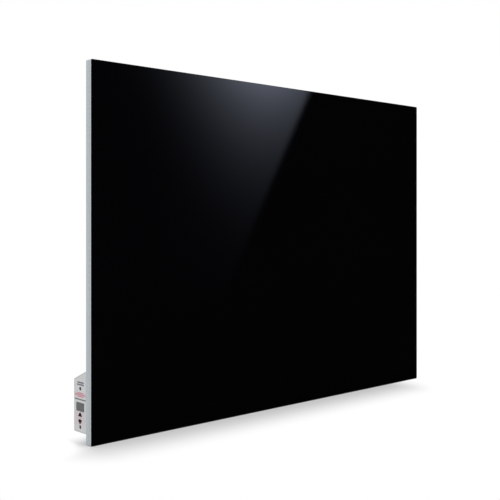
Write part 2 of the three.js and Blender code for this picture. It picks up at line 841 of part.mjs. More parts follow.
function controlHousing() {
  const shell = cut(
    prism(sideOutline(0), "x", fascia_thickness, box_length),
    prism(sideOutline(box_wall), "x", fascia_thickness - past, box_length - box_wall),
  );
  const ears = [
    rectangle(box_length - bite, box_length + foot_reach, foot_bottom, foot_top, [
      0,
      foot_corner,
      foot_corner,
      0,
    ]),
    rectangle(ear_from_fascia, ear_from_fascia + ear_width, box_rise_front - box_wall, ear_top, [
      0,
      0,
      foot_corner,
      foot_corner,
    ]),
  ].map((shape) => prism(shape, "y", 0, foot_thickness));
  const inner = box_wall / 2;
  const shelf = slab(
    terminal_front - shelf_lip,
    box_length - inner,
    inner,
    box_depth - inner,
    terminal_level - shelf_thickness,
    terminal_level,
  );
  const top_inside = box_rise_front - box_slope * box_middle - inner;
  const posts = [post(fascia_screw_low, inner), post(fascia_screw_high, top_inside)];
  const body = join(shell, ...ears, shelf, ...posts);

  const pilot = (level) => {
    const depth = fascia_thickness + fascia_screw_length + pilot_extra;
    const bore = ring(fascia_screw_radius + hole_gap, box_middle, level, 8);
    return prism(bore, "x", fascia_thickness - past, depth);
  };
  const foot_hole = ({ x, y }) => {
    const hole = ring(screw_radius + hole_gap, x, y, 8);
    return prism(hole, "y", -past, foot_thickness + past);
  };
  const neck = ring(grommet_neck_radius + hole_gap, grommet_from_fascia, terminal_axis_level);
  const gland = ring(gland_thread_radius + hole_gap, box_middle, gland_level);
  const vents = Array.from({ length: vent_count }, (_, i) => {
    const y = box_middle + (i - (vent_count - 1) / 2) * vent_pitch;
    const x = board_back + vent_from_board;
    const half = vent_width / 2;
    return slab(x, x + vent_length, y - half, y + half, -past, box_wall + past);
  });
  return cut(
    body,
    pilot(fascia_screw_low),
    pilot(fascia_screw_high),
    prism(neck, "y", -past, box_wall + past),
    prism(gland, "x", box_length - box_wall - past, box_length + past),
    ...box_screw_places.map(foot_hole),
    ...vents,
  );
}

// ---- Fascia, label and lens --------------------------------------------------------------

// A triangular key outline, grown outward all round by scaling it about its incentre.
function keyOutline(up, grow) {
  const half = key_width / 2;
  const side = Math.hypot(half, key_height);
  const inradius = (half * key_height) / (half + side);
  const base = up ? key_up_level : key_level;
  const sign = up ? 1 : -1;
  const centre = at(box_middle, base + sign * inradius);
  const corners = [at(-half, -inradius), at(half, -inradius), at(0, key_height - inradius)];
  const scale = 1 + grow / inradius;
  const placed = corners.map((corner) => at(corner.x * scale, corner.y * scale * sign).add(centre));
  return outline(up ? placed : placed.reverse(), key_round + grow);
}

const displayOutline = (grow) =>
  rectangle(
    box_middle - display_width / 2 - grow,
    box_middle + display_width / 2 + grow,
    display_level - grow,
    display_level + display_height + grow,
    display_corner,
  );

// The openings that fascia and label share.
function faceOpenings(from, to) {
  const head = (level) => {
    const hole = ring(fascia_head_radius + hole_gap, box_middle, level);
    return prism(hole, "x", from, to);
  };
  return [
    prism(displayOutline(slide_gap), "x", from, to),
    prism(keyOutline(true, slide_gap), "x", from, to),
    prism(keyOutline(false, slide_gap), "x", from, to),
    head(fascia_screw_low),
    head(fascia_screw_high),
  ];
}

function fasciaPlate() {
  const plate = prism(sideOutline(0), "x", 0, fascia_thickness);
  const rim_end = fascia_thickness + fascia_rim_depth;
  const rim_inside = sideOutline(fascia_rim_inset + fascia_rim);
  const rim = cut(
    prism(sideOutline(fascia_rim_inset), "x", fascia_thickness - bite, rim_end),
    prism(rim_inside, "x", fascia_thickness, rim_end + past),
  );
  // Tubes round the post tips press the board onto the posts' shoulders.
  const socket_radius = post_tip_radius + hole_gap;
  const tube = (level) => {
    const round = disc(socket_radius + tube_wall, box_middle, level);
    return prism(round, "x", fascia_thickness - bite, board_front - rest_gap);
  };
  const socket = (level) => {
    const bore = ring(socket_radius, box_middle, level);
    return prism(bore, "x", fascia_thickness, board_front + past);
  };
  const shank = (level) => {
    const bore = ring(fascia_screw_radius + hole_gap, box_middle, level, 8);
    return prism(bore, "x", -past, fascia_thickness + past);
  };
  const body = join(plate, rim, tube(fascia_screw_low), tube(fascia_screw_high));
  const [display, key_up, key_down, ...heads] = faceOpenings(-past, fascia_thickness + past);
  const rebate = slab(-2 * past, fascia_head_height, 0, box_depth, 0, box_rise_front);
  return cut(
    body,
    prism(sideOutline(label_margin), "x", -past, label_thickness),
    display,
    key_up,
    key_down,
    ...heads.map((head) => head.intersect(rebate)),
    ...[fascia_screw_low, fascia_screw_high].flatMap((level) => [shank(level), socket(level)]),
  );
}

function fasciaLabel() {
  const film = prism(sideOutline(label_margin + hole_gap), "x", 0, label_thickness);
  return cut(film, ...faceOpenings(-past, label_thickness + past));
}

// A window that fills its opening, with a flange behind the fascia that reaches from rim to rim.
function displayWindow() {
  const plug = prism(displayOutline(0), "x", 0, fascia_thickness + bite);
  const inset = fascia_rim_inset + fascia_rim + slide_gap;
  const flange_back = fascia_thickness + lens_flange_thickness;
  const top = display_level + display_height;
  const flange = slab(fascia_thickness, flange_back, inset, box_depth - inset, display_level, top);
  return join(plug, flange);
}

function displayModule() {
  const half = display_width / 2;
  const front = fascia_thickness + lens_flange_thickness + end_gap;
  const bottom = display_level + slide_gap;
  const top = display_level + display_height;
  return slab(front, board_front, box_middle - half, box_middle + half, bottom, top, small_arris);
}

// ---- Keys and their switches -------------------------------------------------------------

function keyCentre(up) {
  const third = key_height / 3;
  return up ? key_up_level + third : key_level - third;
}

// Cap, flange behind the fascia and stem that reaches the switch, in one moulding.
function pushKey(up) {
  const flange_front = fascia_thickness + rest_gap;
  const flange_back = flange_front + key_flange_thickness;
  const cap = prism(keyOutline(up, 0), "x", -key_proud, flange_front + bite, key_arris);
  const reach = slide_gap + key_flange;
  const half = key_width / 2 + reach;
  const base = up ? key_up_level - reach : key_level + reach;
  const tip = (up ? key_up_level + key_height : key_level - key_height) + slide_gap;
  const low = Math.min(base, tip);
  const high = Math.max(base, tip);
  const flange = slab(flange_front, flange_back, box_middle - half, box_middle + half, low, high);
  const stem = disc(key_stem_radius, box_middle, keyCentre(up), 12);
  return join(cap, flange, prism(stem, "x", flange_back - bite, flange_back + key_stem_length));
}

function switchPlunger(up) {
  const shape = disc(plunger_radius, box_middle, keyCentre(up), 12);
  return prism(shape, "x", plunger_front, plunger_front + plunger_length, plunger_arris);
}

function tactSwitch(up) {
  const half = switch_size / 2;
  const z = keyCentre(up);
  const left = box_middle - half;
  const right = box_middle + half;
  const body = slab(switch_front, board_front, left, right, z - half, z + half, small_arris);
  const well_end = plunger_front + plunger_length + key_travel + rest_gap;
  const well = ring(plunger_radius + hole_gap, box_middle, z, 12);
  return cut(body, prism(well, "x", switch_front - past, well_end));
}

// ---- Board and what it carries -----------------------------------------------------------

function controlBoard() {
  const margin = box_wall + board_gap;
  const shape = rectangle(margin, box_depth - margin, margin, board_top, board_corner);
  const holes = [fascia_screw_low, fascia_screw_high].map((level) => {
    const hole = ring(post_tip_radius + hole_gap, box_middle, level);
    return prism(hole, "x", board_front - past, board_back + past);
  });
  return cut(prism(shape, "x", board_front, board_back), ...holes);
}

function onBoard(size, level) {
  const half = size.y / 2;
  const left = box_middle - half;
  const right = box_middle + half;
  const end = board_back + size.x;
  return slab(board_back, end, left, right, level, level + size.z, component_arris);
}

function roomSensor() {
  const y = box_depth - box_wall - sensor_inset;
  const z = box_wall + sensor_inset;
  const x = board_front - sensor_leg_length;
  const head = new THREE.SphereGeometry(sensor_radius, 10, 8);
  head.translate(x, y, z);
  const leg = (side) => {
    const round = disc(sensor_leg_radius, y + (side * sensor_leg_pitch) / 2, z, 6);
    return prism(round, "x", x, board_front);
  };
  return join(solidOf(head), leg(-1), leg(1));
}

function terminalBlock() {
  const left = box_middle - terminal_size.y / 2;
  const right = box_middle + terminal_size.y / 2;
  const top = terminal_level + terminal_size.z;
  const middle = (terminal_front + terminal_back) / 2;
  const block = [terminal_front, terminal_back, left, right, terminal_level, top];
  const body = slab(...block, component_arris);
  const wells = [0, 1, 2].flatMap((pole) => {
    const y = terminal_pole(pole);
    const entry = ring(terminal_hole_radius, y, terminal_axis_level, 10);
    const screw = ring(terminal_hole_radius, middle, y, 10);
    return [
      prism(entry, "x", terminal_front - past, terminal_front + terminal_hole_depth),
      prism(screw, "z", top - terminal_screw_depth, top + past),
    ];
  });
  const half = terminal_groove_width / 2;
  const floor = top - terminal_groove_depth;
  const grooves = [0.5, 1.5].map((pole) => {
    const y = terminal_pole(pole);
    return slab(terminal_front - past, terminal_back + past, y - half, y + half, floor, top + past);
  });
  return cut(body, ...wells, ...grooves);
}

// The two wires from the board to the terminal block, one along each wall, clear of the grommet.
function boardLead(side) {
  const grommet_end = box_wall + seat_gap + grommet_flange;
  const inset = grommet_end + 2 * end_gap + board_lead_radius;
  const y = side < 0 ? inset : box_depth - inset;
  const drop_x = board_back + board_lead_reach;
  const end_level = terminal_level + board_lead_end_rise;
  const points = [
    at(board_back + end_gap, y, board_lead_level),
    at(drop_x, y, board_lead_level),
    at(drop_x, y, end_level),
    at(terminal_front - end_gap, y, end_level),
  ];
  return wire(points, board_lead_radius, lead_bend, 6);
}

// ---- Cord gland --------------------------------------------------------------------------

function supplyGland() {
  const thread_start = box_length - box_wall - gland_inside;
  const hex_end = box_length + gland_hex_height;
  const cap_end = hex_end + gland_cap_length;
  const cap_radius = gland_hex_radius - gland_cap_inset;
  const profile = [
    [0, thread_start],
    [gland_thread_radius, thread_start],
    [gland_thread_radius, box_length + bite],
    [cap_radius, box_length + bite],
    [cap_radius, cap_end - gland_cap_chamfer_length],
    [cap_radius - gland_cap_chamfer, cap_end],
    [0, cap_end],
  ];
  const body = turned(profile, X, at(0, box_middle, gland_level), 16);
  const hex = prism(disc(gland_hex_radius, box_middle, gland_level, 6), "x", box_length, hex_end);
  const bore = ring(gland_bore_radius, box_middle, gland_level);
  return cut(join(body, hex), prism(bore, "x", thread_start - past, cap_end + past));
}

function glandNut() {
  const back = box_length - box_wall;
  const front = back - gland_nut_height;
  const hex = prism(disc(gland_hex_radius, box_middle, gland_level, 6), "x", front, back);
  const bore = ring(gland_thread_radius + hole_gap, box_middle, gland_level);
  return cut(hex, prism(bore, "x", front - past, back + past));
}

// ---- The assembly ------------------------------------------------------------------------

addPart(heater, "front_glass", frontGlass(), "black_glass");
addPart(heater, "glass_seal", glassSeal(), "silicone");
addPart(heater, "heat_spreader", heatSpreader(), "foil");
addPart(heater, "heating_cable", heatingCable(), "cable_jacket");
addPart(heater, "insulation_mat", insulationMat(), "mineral_mat");
addPart(heater, "rear_casing", rearCasing(), "painted_steel");

addPart(heater, "thermal_cutout", thermalCutout(), "black_plastic");
const live_sleeve = [
  at(sleeve_live_left, sleeve_axis, run_level(0)),
  at(sleeve_live_right, sleeve_axis, run_level(0)),
];
addPart(heater, "joint_sleeve_live", wire(live_sleeve, sleeve_radius, 0), "black_plastic");
const neutral_sleeve = [
  at(return_x, sleeve_axis, sleeve_neutral_bottom),
  at(return_x, sleeve_axis, sleeve_neutral_top),
];
addPart(heater, "joint_sleeve_neutral", wire(neutral_sleeve, sleeve_radius, 0), "black_plastic");
addPart(heater, "cutout_link", cutoutLink(), "brown_wire");
addPart(heater, "lead_live", leadLive(), "brown_wire");
addPart(heater, "lead_earth", leadEarth(), "green_wire");
addPart(heater, "lead_neutral", leadNeutral(), "blue_wire");
addPart(heater, "earth_stud", earthStud(), "zinc_screw");
addPart(heater, "earth_tag", earthTag(), "brass");
addPart(heater, "earth_nut", earthNut(), "zinc_screw");
addPart(heater, "lead_grommet", leadGrommet(), "rubber");

for (const { side, x, z, hanger } of bracket_places) {
  const height = hanger ? hanger_height : spacer_height;
  const web_back = hanger ? wall_plane : wall_plane - bumper_head;
  const hat = bracket(x, z, height, web_back);
  if (hanger) {
    addPart(heater, `hanger_bracket_${side}`, cut(hat, keyhole(x, z)), "painted_steel");
  } else {
    const stem_hole = ring(bumper_stem_radius + hole_gap, x, z);
    const hole = prism(stem_hole, "y", web_back - bracket_sheet - past, web_back + past);
    addPart(heater, `spacer_bracket_${side}`, cut(hat, hole), "painted_steel");
    addPart(heater, `wall_bumper_${side}`, wallBumper(x, z), "rubber");
  }
}
bracket_screw_places.forEach(({ x, y: z }, i) => {
  const grip = bracket_sheet + casing_sheet;
  const seat = at(x, casing_back + bracket_sheet, z);
  const screw = panScrew(screw_radius, grip, screw_head_radius, screw_head_height, Y, seat);
  addPart(heater, `bracket_screw_${i + 1}`, screw, "zinc_screw");
});

addPart(thermostat, "control_housing", controlHousing(), "moulded_box");
addPart(thermostat, "fascia_plate", fasciaPlate(), "moulded_box");
addPart(thermostat, "fascia_label", fasciaLabel(), "printed_film");
addPart(thermostat, "display_window", displayWindow(), "display_lens");
addPart(thermostat, "display_module", displayModule(), "display_glass");
addPart(thermostat, "control_board", controlBoard(), "circuit_board");
addPart(thermostat, "relay", onBoard(relay_size, relay_level), "blue_plastic");
const capacitor = onBoard(capacitor_size, capacitor_level);
addPart(thermostat, "supply_capacitor", capacitor, "white_plastic");
addPart(thermostat, "room_sensor", roomSensor(), "black_plastic");
addPart(thermostat, "terminal_block", terminalBlock(), "white_plastic");
addPart(thermostat, "board_lead_live", boardLead(-1), "brown_wire");
addPart(thermostat, "board_lead_neutral", boardLead(1), "blue_wire");
addPart(thermostat, "supply_gland", supplyGland(), "black_plastic");
addPart(thermostat, "gland_nut", glandNut(), "black_plastic");
for (const up of [true, false]) {
  const way = up ? "up" : "down";
  addPart(thermostat, `button_${way}`, pushKey(up), "black_plastic");
  addPart(thermostat, `switch_plunger_${way}`, switchPlunger(up), "black_plastic");
  addPart(thermostat, `switch_${way}`, tactSwitch(up), "black_plastic");
}
for (const [place, level] of [["upper", fascia_screw_high], ["lower", fascia_screw_low]]) {
  const screw = panScrew(
    fascia_screw_radius,
    fascia_screw_length,
    fascia_head_radius,
    fascia_head_height,
    X.clone().negate(),
    at(fascia_head_height, box_middle, level),
  );
  addPart(thermostat, `fascia_screw_${place}`, screw, "dark_screw");
}
box_screw_places.forEach(({ x, y: z }, i) => {
  const grip = foot_thickness + seat_gap + casing_sheet;
  const seat = at(x, foot_thickness, z);
  const screw = panScrew(screw_radius, grip, screw_head_radius, screw_head_height, Y, seat);
  addPart(thermostat, `housing_screw_${i + 1}`, screw, "zinc_screw");
});

const part = new THREE.Group();
part.add(heater);
export default part;
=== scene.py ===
import json
import math

import bmesh
import bpy
from bpy.props import FloatProperty, FloatVectorProperty, PointerProperty
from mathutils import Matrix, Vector
from mathutils.geometry import tessellate_polygon


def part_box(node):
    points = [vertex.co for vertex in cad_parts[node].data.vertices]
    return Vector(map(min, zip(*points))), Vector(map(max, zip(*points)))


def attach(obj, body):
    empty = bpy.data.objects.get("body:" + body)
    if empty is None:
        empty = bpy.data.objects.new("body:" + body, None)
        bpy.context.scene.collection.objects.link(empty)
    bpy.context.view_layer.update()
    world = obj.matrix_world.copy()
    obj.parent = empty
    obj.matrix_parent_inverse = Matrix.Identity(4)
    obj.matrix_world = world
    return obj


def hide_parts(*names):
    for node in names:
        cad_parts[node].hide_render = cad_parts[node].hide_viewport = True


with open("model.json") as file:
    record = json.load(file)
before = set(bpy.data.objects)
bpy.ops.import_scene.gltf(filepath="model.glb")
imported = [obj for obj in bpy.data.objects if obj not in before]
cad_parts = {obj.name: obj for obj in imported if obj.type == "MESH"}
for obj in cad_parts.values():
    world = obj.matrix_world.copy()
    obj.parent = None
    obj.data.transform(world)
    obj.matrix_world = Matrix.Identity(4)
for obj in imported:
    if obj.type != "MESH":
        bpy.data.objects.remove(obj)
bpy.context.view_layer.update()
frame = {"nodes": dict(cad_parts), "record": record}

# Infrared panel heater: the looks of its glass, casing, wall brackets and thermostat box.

bl_info = {
    "name": "Infrared panel heater",
    "version": (1, 0, 0),
    "blender": (4, 5, 0),
    "location": "3D View > Sidebar > Heater",
    "description": "Builds the surfaces of an infrared panel heater round its solid frame",
    "category": "Object",
}

MM = 0.001
NODES = frame["nodes"]
BODY = "heater"
PREFIX = "finish_"

# ---- Places read from the frame ------------------------------------------------------------

glass_low, glass_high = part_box("front_glass")
seal_low, seal_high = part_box("glass_seal")
tray_low, tray_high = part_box("rear_casing")
box_low, box_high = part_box("control_housing")
plate_low, plate_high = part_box("fascia_plate")
label_low, label_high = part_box("fascia_label")
window_low, window_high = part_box("display_window")

# The middle of the thermostat box's face, measured across it.
face_middle = (box_low.y + plate_high.y) / 2

CASING_SCREWS = ("bracket_screw", "housing_screw")
QUARTER = math.pi / 2
# How far a cut starts or ends outside what it cuts.
PAST = 1 * MM
WHITE = (1.0, 1.0, 1.0)


# ---- Sizes and colours ---------------------------------------------------------------------


def number(name, text, default, **kind):
    """A property that holds one number."""
    return FloatProperty(name=name, description=text, default=default, **kind)


def length(name, text, default_mm):
    """A property that holds a length in metres, with its default written in millimetres."""
    return number(name, text, default_mm * MM, min=0.0, max=2.0, unit="LENGTH", precision=5)


def colour(name, text, default):
    """A property that holds a linear colour."""
    return FloatVectorProperty(
        name=name,
        description=text,
        default=default,
        min=0.0,
        max=1.0,
        size=3,
        subtype="COLOR",
    )


class HeaterPanelSizes(bpy.types.PropertyGroup):
    """Sizes of the glass, the steel tray and what is screwed to it."""

    glass_corner: length("Glass corner", "Radius of the glass at its four corners", 2)
    glass_arris: length("Glass arris", "Width of the ground edge of the glass", 0.35)
    seal_setback: length("Seal setback", "How far the bond bead stays in from the edge", 0.3)
    seal_width: length("Seal width", "Width of the bond bead", 8.45)
    casing_corner: length("Casing corner", "Radius of the tray at its four corners", 2)
    casing_sheet: length("Casing sheet", "Thickness of the tray's steel", 0.75)
    casing_fold: length("Casing fold", "Outer radius of the tray's folded edges", 0.85)
    casing_lip: length("Casing lip", "Width of the lip that the glass is bonded to", 12)
    bead_pitch: length("Bead pitch", "Distance between the pressed beads", 90)
    bead_length: length("Bead length", "Length of a pressed bead", 540)
    bead_half_width: length("Bead half width", "Half the width of a bead at its foot", 7)
    bead_draft: length("Bead draft", "Width of a bead's sloping flank", 3.2)
    bead_height: length("Bead height", "How far a bead stands out of the back", 2)
    bracket_sheet: length("Bracket sheet", "Thickness of the brackets' steel", 1.5)
    bracket_foot: length("Bracket foot", "Width of a bracket's foot", 16)
    bracket_bend: length("Bracket bend", "Bend radius at the middle of the sheet", 2.25)
    keyhole_entry: length("Keyhole entry", "Radius of the round part of a keyhole", 5.5)
    keyhole_slot: length("Keyhole slot", "Half the width of a keyhole's slot", 3)
    keyhole_rise: length("Keyhole rise", "From the entry's middle to the slot's end", 15)
    bumper_hole: length("Bumper hole", "Radius of the hole for a bumper's stem", 3.25)
    bumper_edge: length("Bumper edge", "Rounding of a wall bumper's rim", 0.9)
    screw_hole: length("Screw hole", "Radius of the holes for the casing's screws", 2.25)
    neck_hole: length("Lead hole", "Radius of the hole that the leads pass through", 5.45)


class HeaterBoxSizes(bpy.types.PropertyGroup):
    """Sizes of the thermostat box and what is on its face."""

    rear_rise: length("Rear height", "Height of the box at its wall side", 69)
    corner: length("Box corner", "Radius of the box's two wall-side corners", 2)
    casing_edge: length("Box edge", "Radius of the box's two casing-side corners", 0.4)
    wall: length("Box wall", "Thickness of the moulded wall", 2)
    edge: length("Moulded edge", "Rounding along the box's moulded edges", 0.5)
    tab_sheet: length("Tab thickness", "Thickness of the box's foot and ear", 2.5)
    gland_hole: length("Gland hole", "Radius of the hole that the gland stands in", 6.55)
    label_margin: length("Label margin", "From the box's outline to the label", 1.05)
    display_rise: length("Display level", "From the box's bottom to the display", 28)
    display_width: length("Display width", "Width of the display's window", 18.8)
    display_height: length("Display height", "Height of the display's window", 10.8)
    display_corner: length("Display corner", "Radius of the window's corners", 0.5)
    key_width: length("Key width", "Width of a push button at its base", 8.2)
    key_height: length("Key height", "From a push button's base to its apex", 5.3)
    key_round: length("Key corner", "Radius of a push button's corners", 0.5)
    key_down_rise: length("Down key level", "From the box's bottom to the lower base", 16.5)
    key_up_rise: length("Up key level", "From the box's bottom to the upper base", 21.3)
    key_arris: length("Key arris", "Rounding of a push button's rim", 0.35)
    key_gap: length("Key gap", "Clearance round a push button in its opening", 0.3)
    low_screw_rise: length("Lower screw", "From the box's bottom to the lower screw", 7.1)
    high_screw_rise: length("Upper screw", "From the box's bottom to the upper screw", 57.4)
    screw_well: length("Screw well", "Radius of the well round a fascia screw's head", 2.45)
    shank_hole: length("Shank hole", "Radius of the hole for a fascia screw's shank", 1.35)
    well_depth: length("Well depth", "Depth of the well round a fascia screw's head", 1.4)


class HeaterColours(bpy.types.PropertyGroup):
    """Linear colours of the finishes."""

    glass: colour("Glass", "The back-painted black glass", (0.0012, 0.0012, 0.0016))
    glass_edge: colour("Glass edge", "The ground edge of the glass", (0.48, 0.525, 0.55))
    paint: colour("Paint", "Powder coat of the tray and brackets", (0.485, 0.53, 0.555))
    box: colour("Box", "Moulded plastic of the thermostat box", (0.56, 0.57, 0.58))
    film: colour("Film", "The label's film", (0.62, 0.622, 0.63))
    red_ink: colour("Red ink", "The label's red printing", (0.5, 0.1, 0.16))
    blue_ink: colour("Blue-grey ink", "The label's blue-grey printing", (0.06, 0.06, 0.11))
    grey_ink: colour("Grey ink", "The label's dark grey printing", (0.1, 0.1, 0.1))
    blush: colour("Blush", "The pale tint printed round the keys", (0.63, 0.47, 0.52))
    lens: colour("Lens", "The smoked display window", (0.08, 0.082, 0.086))
    key: colour("Key", "The push buttons", (0.004, 0.003, 0.003))
    zinc: colour("Zinc", "Plated screws", (0.56, 0.57, 0.59))
    dark_screw: colour("Dark screw", "Blackened fascia screws", (0.05, 0.055, 0.06))
    rubber: colour("Rubber", "Wall bumpers and grommet", (0.016, 0.016, 0.017))
    black: colour("Black plastic", "The cord gland", (0.014, 0.014, 0.015))


class HeaterStudio(bpy.types.PropertyGroup):
    """Camera, lamps and cards."""

    camera_place: FloatVectorProperty(
        name="Camera place",
        description="Where the camera stands",
        default=(-0.9525, -0.9689, 0.293),
        size=3,
        subtype="TRANSLATION",
        unit="LENGTH",
    )
    camera_yaw: number(
        "Camera yaw",
        "How far the camera is turned from the wall's normal towards +X",
        math.radians(42.97),
        subtype="ANGLE",
    )
    camera_lens: number("Lens", "Focal length on a 36 mm sensor", 61.74, unit="CAMERA")
    camera_shift: number("Shift", "How far the level camera's frame is shifted up", -0.0612)
    key_power: number("Key lamp", "Power of the soft lamp in front on the left", 20.0, unit="POWER")
    fill_power: number("Fill lamp", "Power of the soft lamp overhead", 9.0, unit="POWER")
    rear_power: number("Rear lamp", "Power of the soft lamp behind the heater", 14.0, unit="POWER")
    ambient: number("Ambient", "Strength of the white surroundings as light", 0.72)
    sheen_strength: number("Sheen", "Strength of the card that the glass mirrors", 2.3)


# ---- Shader building -----------------------------------------------------------------------


class Value:
    """A number socket of a finish, so that masks are written as plain sums."""

    def __init__(self, finish, socket):
        self.finish = finish
        self.socket = socket

    def __add__(self, other):
        return self.finish.maths("ADD", self, other)

    def __sub__(self, other):
        return self.finish.maths("SUBTRACT", self, other)

    def __rsub__(self, other):
        return self.finish.maths("SUBTRACT", other, self)

    def __mul__(self, other):
        return self.finish.maths("MULTIPLY", self, other)

    def __truediv__(self, other):
        return self.finish.maths("DIVIDE", self, other)

    def __abs__(self):
        return self.finish.maths("ABSOLUTE", self)

    __radd__ = __add__
    __rmul__ = __mul__

    def at_least(self, other):
        return self.finish.maths("MAXIMUM", self, other)

    def at_most(self, other):
        return self.finish.maths("MINIMUM", self, other)

    def rise(self, start, end):
        """0 up to start and 1 from end on, with a soft step between."""
        settings = {"data_type": "FLOAT", "interpolation_type": "SMOOTHSTEP"}
        inputs = {"Value": self, "From Min": start, "From Max": end}
        node = self.finish.add("ShaderNodeMapRange", settings, inputs)
        return Value(self.finish, node.outputs["Result"])


class Finish:
    """The nodes of a material or a world, built step by step."""

    def __init__(self, owner, output="ShaderNodeOutputMaterial"):
        self.owner = owner
        owner.use_nodes = True
        self.tree = owner.node_tree
        self.tree.nodes.clear()
        self.output = self.add(output)

    def add(self, kind, settings=None, inputs=None):
        """Adds a node of a type, sets it, then gives its sockets their values or links."""
        node = self.tree.nodes.new(kind)
        for key, value in (settings or {}).items():
            setattr(node, key, value)
        for key, value in (inputs or {}).items():
            socket = node.inputs[key]
            if isinstance(value, Value):
                value = value.socket
            if isinstance(value, bpy.types.NodeSocket):
                self.tree.links.new(value, socket)
            elif isinstance(value, (tuple, list, Vector)) and socket.type == "RGBA":
                socket.default_value = (*value[:3], 1.0)
            else:
                socket.default_value = value
        return node

    def maths(self, operation, *values):
        node = self.add("ShaderNodeMath", {"operation": operation}, dict(enumerate(values)))
        return Value(self, node.outputs[0])

    def millimetres(self):
        """Object coordinates in millimetres, as a vector socket."""
        place = self.add("ShaderNodeTexCoord").outputs["Object"]
        settings = {"operation": "SCALE"}
        node = self.add("ShaderNodeVectorMath", settings, {0: place, "Scale": 1 / MM})
        return node.outputs[0]

    def axes(self, vector):
        parts = self.add("ShaderNodeSeparateXYZ", None, {0: vector}).outputs
        return [Value(self, part) for part in parts]

    def facing(self):
        """How squarely the surface faces each axis, from 0 to 1, in its own object's frame."""
        normal = self.add("ShaderNodeTexCoord").outputs["Normal"]
        return [abs(part) for part in self.axes(normal)]

    def noise(self, place, size, detail=2.0, roughness=0.5):
        """Noise from 0 to 1 whose patches are about size millimetres across."""
        inputs = {
            "Vector": place,
            "Scale": 1 / size,
            "Detail": detail,
            "Roughness": roughness,
        }
        node = self.add("ShaderNodeTexNoise", None, inputs)
        return Value(self, node.outputs["Fac"])

    def stretched(self, place, stretch):
        """The same place with its axes scaled, for brushed or drawn grain."""
        settings = {"operation": "MULTIPLY"}
        return self.add("ShaderNodeVectorMath", settings, {0: place, 1: stretch}).outputs[0]

    def edges(self, radius_mm):
        """1 on sharp edges and 0 on flats, from how far rounding would turn the surface."""
        inputs = {"Radius": radius_mm * MM}
        rounded = self.add("ShaderNodeBevel", {"samples": 4}, inputs).outputs[0]
        flat = self.add("ShaderNodeNewGeometry").outputs["Normal"]
        settings = {"operation": "DOT_PRODUCT"}
        dot = self.add("ShaderNodeVectorMath", settings, {0: rounded, 1: flat})
        return (1 - Value(self, dot.outputs["Value"])).rise(0.02, 0.25)

    def mix(self, share, first, second):
        """A colour between two colours."""
        settings = {"data_type": "RGBA"}
        node = self.add("ShaderNodeMix", settings, {0: share, 6: first, 7: second})
        return node.outputs[2]

    def bump(self, height, strength, distance_mm):
        inputs = {"Height": height, "Strength": strength, "Distance": distance_mm * MM}
        return self.add("ShaderNodeBump", None, inputs).outputs[0]

    def close(self, **sockets):
        """Ends the material in a Principled shader. Underscores stand for spaces."""
        inputs = {key.replace("_", " "): value for key, value in sockets.items()}
        return self.end(self.add("ShaderNodeBsdfPrincipled", None, inputs))

    def end(self, shader):
        self.tree.links.new(shader.outputs[0], self.output.inputs[0])
        return self.owner


def new_finish(slot):
    return Finish(bpy.data.materials.new(PREFIX + slot))


def finish_of(slot):
    return bpy.data.materials[PREFIX + slot]


def shade(colour_value, factor):
    """A colour made darker or lighter by a factor, within white."""
    return tuple(min(1.0, channel * factor) for channel in colour_value)


# ---- Finishes ------------------------------------------------------------------------------


def black_glass(colours):
    """Back-painted glass: black and glossy on its faces, ground and pale round its edge."""
    f = new_finish("black_glass")
    place = f.millimetres()
    face = f.facing()[1].rise(0.45, 0.6)
    frost = f.noise(place, 0.6, 3)
    smear = f.noise(f.stretched(place, (1, 1, 0.45)), 60, 3)
    streak = f.noise(place, 220, 1)
    edge_colour = f.mix(frost, shade(colours.glass_edge, 0.94), shade(colours.glass_edge, 1.06))
    face_colour = f.mix(streak, shade(colours.glass, 0.8), shade(colours.glass, 1.2))
    gloss = 0.022 + smear.rise(0.5, 0.8) * 0.02
    return f.close(
        Base_Color=f.mix(face, edge_colour, face_colour),
        Roughness=face * gloss + (1 - face) * (0.42 + frost * 0.1),
        IOR=1.5,
        Normal=f.bump(frost, 0.25, 0.02),
    )


def powder_coat(name, tint):
    """Fine-textured paint on steel, a little lighter and smoother where it thins on edges."""
    f = new_finish(name)
    place = f.millimetres()
    peel = f.noise(place, 1.1, 2, 0.55)
    fleck = f.noise(place, 0.35, 1)
    cloud = f.noise(place, 45, 3)
    edge = f.edges(0.5)
    body = f.mix(cloud, shade(tint, 0.965), shade(tint, 1.035))
    flecked = f.mix(fleck.rise(0.35, 0.75) * 0.25, body, shade(tint, 0.86))
    return f.close(
        Base_Color=f.mix(edge * 0.5, flecked, shade(tint, 1.14)),
        Roughness=0.44 + peel * 0.12 - edge * 0.08,
        Normal=f.bump(peel + fleck * 0.4, 0.35, 0.03),
    )


def moulded(name, tint, texture=0.22, roughness=0.46, edge_lift=1.1, gloss=0.5):
    """Moulded plastic with spark-eroded texture, rubbed smooth along its edges."""
    f = new_finish(name)
    place = f.millimetres()
    texture_height = f.noise(place, texture, 2, 0.6)
    flow = f.noise(f.stretched(place, (1, 1, 0.3)), 14, 2)
    edge = f.edges(0.35)
    body = f.mix(flow, shade(tint, 0.955), shade(tint, 1.045))
    return f.close(
        Base_Color=f.mix(edge * 0.6, body, shade(tint, edge_lift)),
        Roughness=roughness + texture_height * 0.1 - edge * 0.1,
        Specular_IOR_Level=gloss,
        Normal=f.bump(texture_height, 0.3, 0.02),
    )


